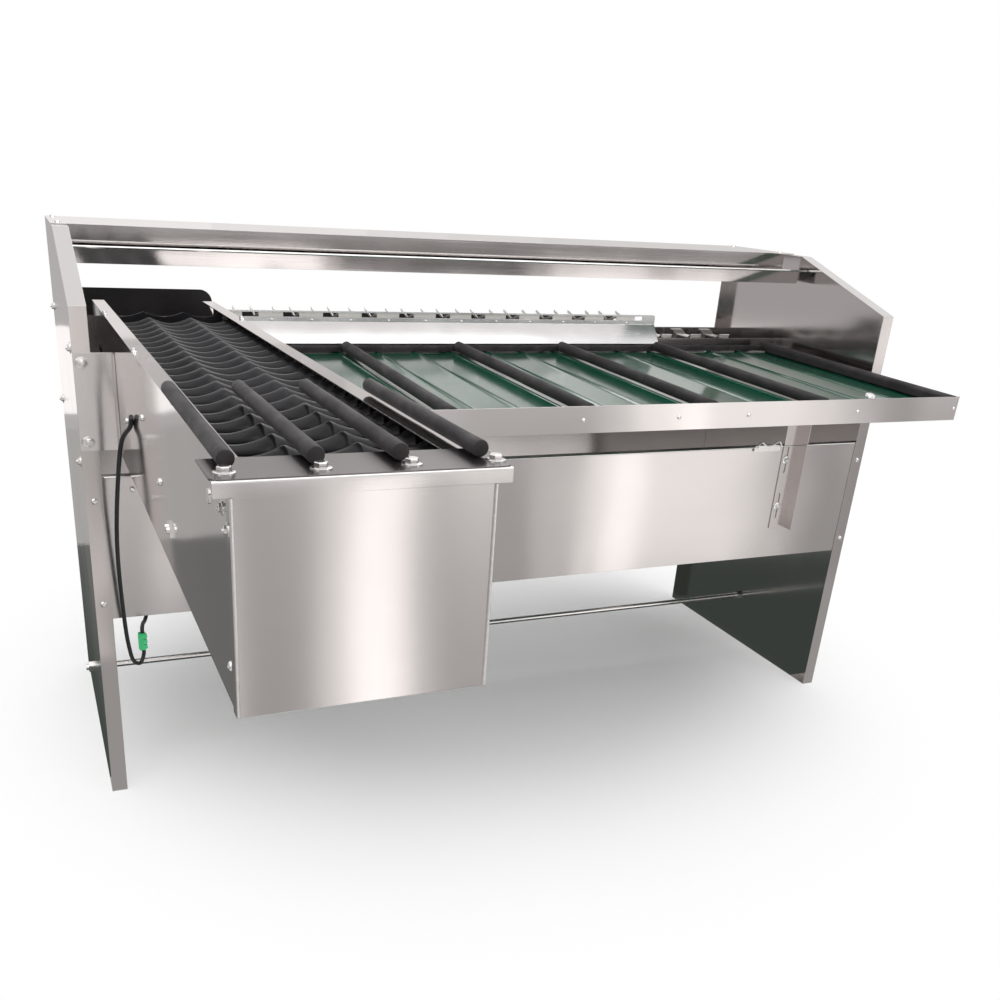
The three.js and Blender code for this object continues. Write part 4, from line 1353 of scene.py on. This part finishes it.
    def latch(self, group: Fasteners) -> None:
        """Adds the small spring latch on the apron's top edge beside the prop.

        Args:
            group: The fasteners that it joins.
        """
        add_prism(group.mesh, [corner(x, self.latch_foot_y, z) for x, z in self.latch_foot],
                  TO_FRONT * self.latch_foot_depth * MM)
        wire = [corner(x, self.latch_wire_y, z) for x, z in self.latch_wire]
        add_tube(group.mesh, smooth_line(wire, 5), self.latch_wire_radius * MM, 10)


@dataclass
class Infeed:
    """The infeed box, its ledge, guide rails and fasteners.

    Places and sizes are in millimetres. A wall screw is given by its Y, its height and its radius.
    """

    left_x: float = 63.0
    width: float = 231.0
    cover_left_x: float = 61.2
    cover_right_x: float = 295.8
    ledge_top: float = 212.0
    ledge_sheet: float = 2.0
    ledge_left_x: float = 47.0
    ledge_right_x: float = 310.0
    ledge_front_y: float = -2.3
    ledge_rear_y: float = 69.0
    ledge_lip: float = 15.0
    ledge_corner: float = 9.0
    plate_setback: float = 1.5
    lip_roll: float = 2.4
    lip_roll_drop: float = 3.4
    hem_foot: float = 1.5
    hem_radius: float = 1.7
    rail_radius: float = 8.0
    rail_inset: float = 2.5
    rail_start: float = 31.0
    rail_end: float = 358.0
    rail_count: int = 4
    bolt_xs: tuple[float, ...] = (62.0, 142.0, 222.0, 301.0)
    bolt_y: float = 20.0
    washer_height: float = 1.3
    wall_screws: tuple[Point, ...] = ((-971, 721, 4.5), (-531, 762, 4.8), (-157, 752, 4.5),
                                      (-378, 806, 4.5))
    cover_bolt: Span = (-984.0, 850.0)
    wall_bolt: Span = (-953.0, 859.0)
    wall_bolt_radius: float = 3.6
    wall_washer: Span = (-888.0, 850.0)
    strap_place: Point = (63.0, -610.0, 728.0)
    strap_outline: tuple[Span, ...] = ((-13, -7), (11, -8), (13, 6), (-11, 8))
    strap_height: float = 3.0
    flange_top: float = 209.7
    flange_clips: tuple[Span, ...] = ((66.0, 690.0), (66.0, 1135.0), (66.0, 320.0),
                                      (291.0, 1080.0))

    def build(self) -> None:
        """Dresses the sheets and builds the ledge, rails and fasteners."""
        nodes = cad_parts
        for name in ("infeed_side_left", "infeed_side_right"):
            dress(nodes[name], PALETTE.steel_y)
        dress(nodes["infeed_front_cover"], PALETTE.steel_x)
        self.plate()
        self.lip()
        self.hems()
        for index in range(self.rail_count):
            self.rail(index)
        self.fasteners()

    def plate(self) -> None:
        """Builds the ledge's dark plate with its round front corners."""
        radius = self.ledge_corner
        front = self.ledge_front_y + self.plate_setback
        outline = [(self.ledge_left_x, self.ledge_rear_y)]
        for centre_x, start in ((self.ledge_left_x + radius, 180),
                                (self.ledge_right_x - radius, 270)):
            for step in range(9):
                angle = math.radians(start + 90 * step / 8)
                outline.append((centre_x + radius * math.cos(angle),
                                front + radius + radius * math.sin(angle)))
        outline.append((self.ledge_right_x, self.ledge_rear_y))
        mesh = bmesh.new()
        add_prism(mesh, [INFEED.at(x, y, self.ledge_top - self.ledge_sheet) for x, y in outline],
                  INFEED.way(0, 0, 1) * self.ledge_sheet * MM)
        sharp = [edge for edge in mesh.edges if edge.calc_face_angle(0.0) > 1.0]
        bmesh.ops.bevel(mesh, geom=sharp, offset=0.0004, segments=2, affect="EDGES")
        plate = mesh_piece("ledge_plate", mesh, 50)
        dress(plate, PALETTE.ledge)
        declare(plate, "ledge_grey", "infeed_ledge")

    def lip(self) -> None:
        """Builds the bright lip under the ledge's plate, with its rolled upper edge."""
        low = self.ledge_top - self.ledge_sheet
        bottom = self.ledge_top - self.ledge_lip
        roll = self.lip_roll
        roll_foot = self.ledge_top - self.lip_roll_drop
        shape = [(1.2, bottom), (0.6, bottom - 0.1), (0.0, bottom)]
        for step in range(6):
            angle = math.radians(180 - 90 * step / 5)
            shape.append((roll + roll * math.cos(angle), roll_foot + roll * math.sin(angle)))
        shape += [(10.0, low - 0.05), (3.0, low - 0.05), (1.4, roll_foot - 0.2)]
        start, end = self.ledge_left_x + 1.0, self.ledge_right_x - 1.0
        mesh = bmesh.new()
        add_prism(mesh, [INFEED.at(start, self.ledge_front_y + y, z) for y, z in shape],
                  TO_RIGHT * (end - start) * MM)
        lip = mesh_piece("ledge_lip", mesh, 35)
        dress(lip, PALETTE.steel_x)
        declare(lip, "stainless")

    def hems(self) -> None:
        """Builds the folded upright edges of the front cover."""
        mesh = bmesh.new()
        low, high = self.hem_foot, self.ledge_top - self.ledge_lip - 0.5
        for x in (self.cover_left_x + 1.5, self.cover_right_x - 1.5):
            points = [INFEED.at(x, -0.6, low + (high - low) * step / 12) for step in range(13)]
            add_tube(mesh, points, self.hem_radius * MM, 12)
        hem = mesh_piece("cover_hems", mesh)
        dress(hem, PALETTE.bright)
        declare(hem, "stainless")

    def rail_x(self, index: int) -> float:
        """Gives a rail's place across the infeed."""
        span = self.width - 2 * self.rail_inset
        return self.left_x + self.rail_inset + span * index / (self.rail_count - 1)

    def rail(self, index: int) -> None:
        """Builds one foam guide rail with softly rounded ends.

        Args:
            index: Its number from the left, from zero.
        """
        radius = self.rail_radius
        length = self.rail_end - self.rail_start
        profile = [(0, 0), (0.80 * radius, 0), (0.94 * radius, 0.5), (radius, 2.0)]
        for step in range(1, 24):
            along = 2 + (length - 4) * step / 24
            swell = 0.985 + 0.015 * math.sin(along * 0.031 + index)
            profile.append((radius * swell, along))
        profile += [(radius, length - 2), (0.94 * radius, length - 0.5), (0.8 * radius, length),
                    (0, length)]
        mesh = bmesh.new()
        where = basis(INFEED.at(self.rail_x(index), self.rail_start,
                                self.ledge_top + 0.3 + radius), INFEED.way(0, 1, 0))
        add_lathe(mesh, in_metres(profile), 40, where)
        rail = mesh_piece(f"foam_rail_{index + 1}", mesh)
        dress(rail, PALETTE.foam)
        declare(rail, "black_foam", f"guide_rail_{index + 1}")

    def fasteners(self) -> None:
        """Adds the ledge bolts, the screws of the wall and cover, and the flanges' clips."""
        group = Fasteners("infeed_fasteners")
        up = INFEED.way(0, 0, 1)
        for x in self.bolt_xs:
            group.washer(INFEED.at(x, self.bolt_y, self.ledge_top), up, 9.5, self.washer_height)
            group.hex_head(INFEED.at(x, self.bolt_y, self.ledge_top + self.washer_height), up,
                           6.2, 4.6)
        for y, z, radius in self.wall_screws:
            group.dome_screw(corner(self.left_x, y, z), TO_LEFT, radius, 3.0)
        group.bolt(corner(self.cover_left_x, *self.cover_bolt), TO_LEFT, self.wall_bolt_radius)
        group.bolt(corner(self.left_x, *self.wall_bolt), TO_LEFT, self.wall_bolt_radius)
        group.washer(corner(self.left_x, *self.wall_washer), TO_LEFT, 7.0, 1.5)
        self.strap(group)
        for x, y in self.flange_clips:
            group.dome_screw(INFEED.at(x, y, self.flange_top), up, 4.0, 2.6)
            group.hex_head(INFEED.at(x, y + 9, self.flange_top), up, 3.6, 5.0)
        group.finish()

    def strap(self, group: Fasteners) -> None:
        """Adds the small bolted block low on the left wall.

        Args:
            group: The fasteners that it joins.
        """
        place = corner(*self.strap_place)
        rise = TO_LEFT * self.strap_height
        add_prism(group.mesh, [place + Vector((0, y, z)) * MM for y, z in self.strap_outline],
                  rise * MM)
        for y in (-6, 6):
            group.hex_head(place + (rise + Vector((0, y, 0))) * MM, TO_LEFT, 4.0, 3.4)


@dataclass
class FeedRollers:
    """The feed rollers and the transfer rotor behind them."""

    left_x: float = 69.5
    length: float = 218.0
    radius: float = 19.0
    waist_radius: float = 9.5
    pin_radius: float = 4.0
    pin_reach: float = 4.7
    first_y: float = 98.0
    pitch: float = 50.8
    height: float = 183.0
    count: int = 22
    lanes: int = 3
    steps: int = 14
    rim: float = 1.6
    chamfer: float = 0.8
    hollow_power: float = 0.92
    turn_each: float = 0.7

    def roller_mesh(self) -> bpy.types.Mesh:
        """Builds one roller at the machine's origin, lying along X.

        Returns:
            The mesh that all the rollers share.
        """
        lane = self.length / self.lanes
        depth = self.radius - self.waist_radius
        pin, reach, chamfer = self.pin_radius, self.pin_reach, self.chamfer
        profile = [(0, -reach), (pin - chamfer, -reach), (pin, chamfer - reach), (pin, 0),
                   (self.radius - 1, 0)]
        for index in range(self.lanes):
            start = index * lane + self.rim
            width = lane - 2 * self.rim
            for step in range(self.steps + 1):
                share = step / self.steps
                inside = 0 < step < self.steps
                dip = depth * math.sin(math.pi * share) ** self.hollow_power if inside else 0
                profile.append((self.radius - dip, start + width * share))
        end = self.length + reach
        profile += [(self.radius - 1, self.length), (pin, self.length), (pin, end - chamfer),
                    (pin - chamfer, end), (0, end)]
        mesh = bmesh.new()
        add_lathe(mesh, in_metres(profile), 40, basis(Vector(), TO_RIGHT))
        shape = mesh_piece("roller_shape", mesh, 32)
        data = shape.data
        bpy.data.objects.remove(shape)
        return data

    def build(self) -> None:
        """Builds all the rollers and dresses the rotor."""
        shape = self.roller_mesh()
        for index in range(self.count):
            number = f"{index + 1:02d}"
            roller = bpy.data.objects.new(f"spool_{number}", shape)
            bpy.context.scene.collection.objects.link(roller)
            place = INFEED.at(self.left_x, self.first_y + index * self.pitch, self.height)
            turn = Matrix.Rotation(INFEED.angle + self.turn_each * index, 4, "X")
            roller.matrix_world = Matrix.Translation(place) @ turn
            if index == 0:
                dress(roller, PALETTE.roller)
            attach(roller, f"roller_{number}")
            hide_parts(f"feed_roller_{number}")
        dress(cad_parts["transfer_rotor"], PALETTE.roller)
        LOG.info("%d rollers made", self.count)


@dataclass
class Grading:
    """The chute, weigh levers, walking beam and cranks."""

    pan_first_x: float = 326.0
    pitch: float = 85.0
    stations: int = 12
    band_y: float = 384.7
    screw_z: float = 830.0

    def build(self) -> None:
        """Dresses the works and adds the chute's screws."""
        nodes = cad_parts
        # The chute's near-white steel carries painted light.
        dress(nodes["weigh_chute"], PALETTE.chute)
        cranks = [f"beam_crank_{number}" for number in (1, 2)]
        levers = [f"weigh_lever_{number}" for number in (1, 2, 3, 4)]
        for name in ["walking_beam", *cranks, *levers]:
            dress(nodes[name], PALETTE.worked)
        group = Fasteners("chute_screws")
        for index in range(self.stations):
            place = corner(self.pan_first_x + index * self.pitch, self.band_y, self.screw_z)
            group.dome_screw(place, TO_FRONT, 3.0, 1.8)
        group.finish()


@dataclass
class Tray:
    """The collecting tray: its rim, green floor, foam edging, dividers and knob."""

    left_x: float = 299.8
    right_x: float = 1658.2
    first_line_x: float = 374.0
    pitch: float = 85.0
    lip_inner_y: float = 1.8
    floor_end_y: float = 646.2
    rear_foam_y: float = 616.0
    rear_foam_depth: float = 12.0
    rear_foam_height: float = 12.5
    side_foam_width: float = 21.0
    side_foam_height: float = 20.0
    peak: float = 28.0
    sink: float = 2.9
    bowl: float = 0.5
    sheet: float = 3.4
    seam: float = 3.2
    lane_steps: int = 24
    floor_rows: int = 24
    divider_radius: float = 11.0
    divider_first_x: float = 558.0
    divider_pitch: float = 255.0
    dividers: int = 4
    foam_gap: float = 0.3
    foam_joint: float = 0.2
    rivet_xs: tuple[float, ...] = (799.0, 993.0, 1145.0, 1402.0, 1652.0)
    rivet_z: float = 23.0
    knob_place: Point = (1431.0, 9.0, 40.0)
    knob: tuple[Span, ...] = ((0, 0), (6.0, 0), (6.0, 2), (4.0, 3.2), (4.0, 6.5), (9.5, 8.5),
                              (10.5, 11), (9.5, 14), (5.5, 16), (0, 16.5))
    prop_bolt_x: float = 1478.0
    prop_bolt_zs: tuple[float, ...] = (482.6, 589.5)

    def lines(self) -> list[float]:
        """Gives the lane lines across the floor with both its edges.

        Returns:
            Their places along X, in millimetres.
        """
        xs = [self.left_x]
        x = self.first_line_x
        while x < self.right_x - self.pitch / 2:
            xs.append(x)
            x += self.pitch
        return xs + [self.right_x]

    def section(self) -> list[tuple[float, float, int]]:
        """Gives the floor's top across the lanes, with a raised seam along each lane line.

        Returns:
            X, height and material slot of each point, in millimetres.
        """
        half = self.seam / 2
        points: list[tuple[float, float, int]] = []
        lines = self.lines()
        for start, end in zip(lines, lines[1:]):
            if start > self.left_x:
                points += [(start - half, self.peak - 0.3, 1), (start - half / 2, self.peak, 1),
                           (start + half / 2, self.peak, 1), (start + half, self.peak - 0.3, 0)]
            else:
                points.append((start, self.peak - 0.2, 0))
            for step in range(1, self.lane_steps):
                share = 0.5 - 0.5 * math.cos(math.pi * step / self.lane_steps)
                bow = abs(2 * share - 1)
                dip = self.bowl * (1 - bow ** 2) + self.sink * (1 - bow ** 16)
                points.append((start + (end - start) * share, self.peak - dip, 0))
        return points + [(lines[-1], self.peak, 0)]

    def build(self) -> None:
        """Builds the floor, the foam and the fasteners and dresses the rim."""
        dress(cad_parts["tray_rim"], PALETTE.steel_x)
        dress(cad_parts["tray_prop"], PALETTE.steel_z)
        self.floor()
        for index in range(self.dividers):
            self.divider(index)
        self.edging()
        self.fasteners()

    def floor(self) -> None:
        """Builds the waved green floor as a closed sheet."""
        section = self.section()
        span = self.floor_end_y - self.lip_inner_y
        mesh = bmesh.new()
        upper = []
        for row in range(self.floor_rows + 1):
            y = self.lip_inner_y + span * row / self.floor_rows
            upper.append([mesh.verts.new(TRAY.at(x, y, z)) for x, z, _ in section])
        front, rear = [[mesh.verts.new(TRAY.at(x, y, z - self.sheet)) for x, z, _ in section]
                       for y in (self.lip_inner_y, self.floor_end_y)]
        for near, far in zip(upper, upper[1:]):
            for i, (_, _, slot) in enumerate(section[:-1]):
                face = mesh.faces.new([near[i], near[i + 1], far[i + 1], far[i]])
                face.material_index = slot
        for i in range(len(section) - 1):
            mesh.faces.new([front[i + 1], front[i], rear[i], rear[i + 1]])
            mesh.faces.new([front[i], front[i + 1], upper[0][i + 1], upper[0][i]])
            mesh.faces.new([upper[-1][i], upper[-1][i + 1], rear[i + 1], rear[i]])
        mesh.faces.new([front[0]] + [row[0] for row in upper] + [rear[0]])
        mesh.faces.new(([front[-1]] + [row[-1] for row in upper] + [rear[-1]])[::-1])
        floor = mesh_piece("green_floor", mesh, 60)
        dress(floor, PALETTE.green, PALETTE.green_seam)
        declare(floor, "green_sheet", "tray_floor")

    def divider(self, index: int) -> None:
        """Builds one foam divider with rounded ends.

        Args:
            index: Its number from the left, from zero.
        """
        radius = self.divider_radius
        start, end = self.lip_inner_y, self.rear_foam_y - self.rear_foam_depth - self.foam_gap
        length = end - start
        profile = [(0, 0), (0.7 * radius, 0), (0.9 * radius, 1.0), (radius, 3.0)]
        for step in range(1, 20):
            along = 3 + (length - 6) * step / 20
            profile.append((radius * (0.985 + 0.015 * math.sin(along * 0.027 + 2 * index)), along))
        profile += [(radius, length - 3), (0.9 * radius, length - 1), (0.7 * radius, length),
                    (0, length)]
        mesh = bmesh.new()
        x = self.divider_first_x + index * self.divider_pitch
        where = basis(TRAY.at(x, start, self.peak + self.foam_gap + radius),
                      TRAY.way(0, 1, 0))
        add_lathe(mesh, in_metres(profile), 36, where)
        divider = mesh_piece(f"foam_divider_{index + 1}", mesh)
        dress(divider, PALETTE.foam)
        declare(divider, "black_foam", f"tray_divider_{index + 1}")

    def edging(self) -> None:
        """Builds the foam strips along the rear and the right wall with rounded tops."""
        mesh = bmesh.new()
        base = self.peak + self.foam_gap
        back = TRAY.way(0, 1, 0)
        self.strip(mesh, (self.rear_foam_depth, self.rear_foam_height),
                   TRAY.at(self.left_x, self.rear_foam_y - self.rear_foam_depth, base), back,
                   TO_RIGHT * (self.right_x - self.left_x - self.side_foam_width
                               - self.foam_joint) * MM)
        self.strip(mesh, (self.side_foam_width, self.side_foam_height),
                   TRAY.at(self.right_x - self.side_foam_width, self.lip_inner_y, base),
                   TO_RIGHT, back * (self.rear_foam_y - self.lip_inner_y) * MM)
        foam = mesh_piece("foam_edging", mesh, 50)
        dress(foam, PALETTE.foam)
        declare(foam, "black_foam", "tray_edge_foam")

    @staticmethod
    def strip(mesh: bmesh.types.BMesh, size: Span, start: Vector, across: Vector,
              along: Vector) -> None:
        """Adds a strip with a flat foot and a rounded top.

        Args:
            mesh: The mesh that gets the strip.
            size: Its width and height in millimetres.
            start: The lower corner of its first end.
            across: The way of its width.
            along: The way and length of the strip.
        """
        width, height = size
        crown = min(width, height) * 0.45
        outline = [(0.0, 0.0), (width, 0.0)]
        for middle, first in ((width - crown, 0), (crown, 1)):
            for step in range(7):
                angle = math.pi / 2 * (first + step / 6)
                outline.append((middle + crown * math.cos(angle),
                                height - crown + crown * math.sin(angle)))
        up = TRAY.way(0, 0, 1)
        add_prism(mesh, [start + (across * a + up * b) * MM for a, b in outline], along)

    def fasteners(self) -> None:
        """Adds the lip's rivets, the knob and the prop's bolts."""
        group = Fasteners("tray_fasteners")
        for x in self.rivet_xs:
            group.dome_screw(TRAY.at(x, 0, self.rivet_z), TRAY.way(0, -1, 0), 3.6, 2.0)
        add_lathe(group.mesh, in_metres(self.knob), 24,
                  basis(TRAY.at(*self.knob_place), TRAY.way(0, -0.25, 1)))
        for z in self.prop_bolt_zs:
            group.bolt(corner(self.prop_bolt_x, -0.5, z), TO_FRONT, 5.0)
        group.finish()


@dataclass
class Drive:
    """The geared motor under the trough."""

    def build(self) -> None:
        """Dresses the geared motor."""
        dress(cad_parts["gearmotor"], PALETTE.paint)


def main() -> None:
    """Builds the studio and dresses the machine, part by part."""
    logging.basicConfig(level=logging.INFO, format="%(name)s %(message)s")
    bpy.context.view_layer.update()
    stages: list[tuple[str, Callable[[], None]]] = [
        ("camera", Viewpoint().build),
        ("leads", Leads().build),
        ("studio", Studio().build),
        ("frame", FrameStand().build),
        ("infeed", Infeed().build),
        ("rollers", FeedRollers().build),
        ("grading", Grading().build),
        ("tray", Tray().build),
        ("drive", Drive().build),
    ]
    for name, build in stages:
        build()
        LOG.info("%s done", name)


if __name__ == "__main__":
    main()
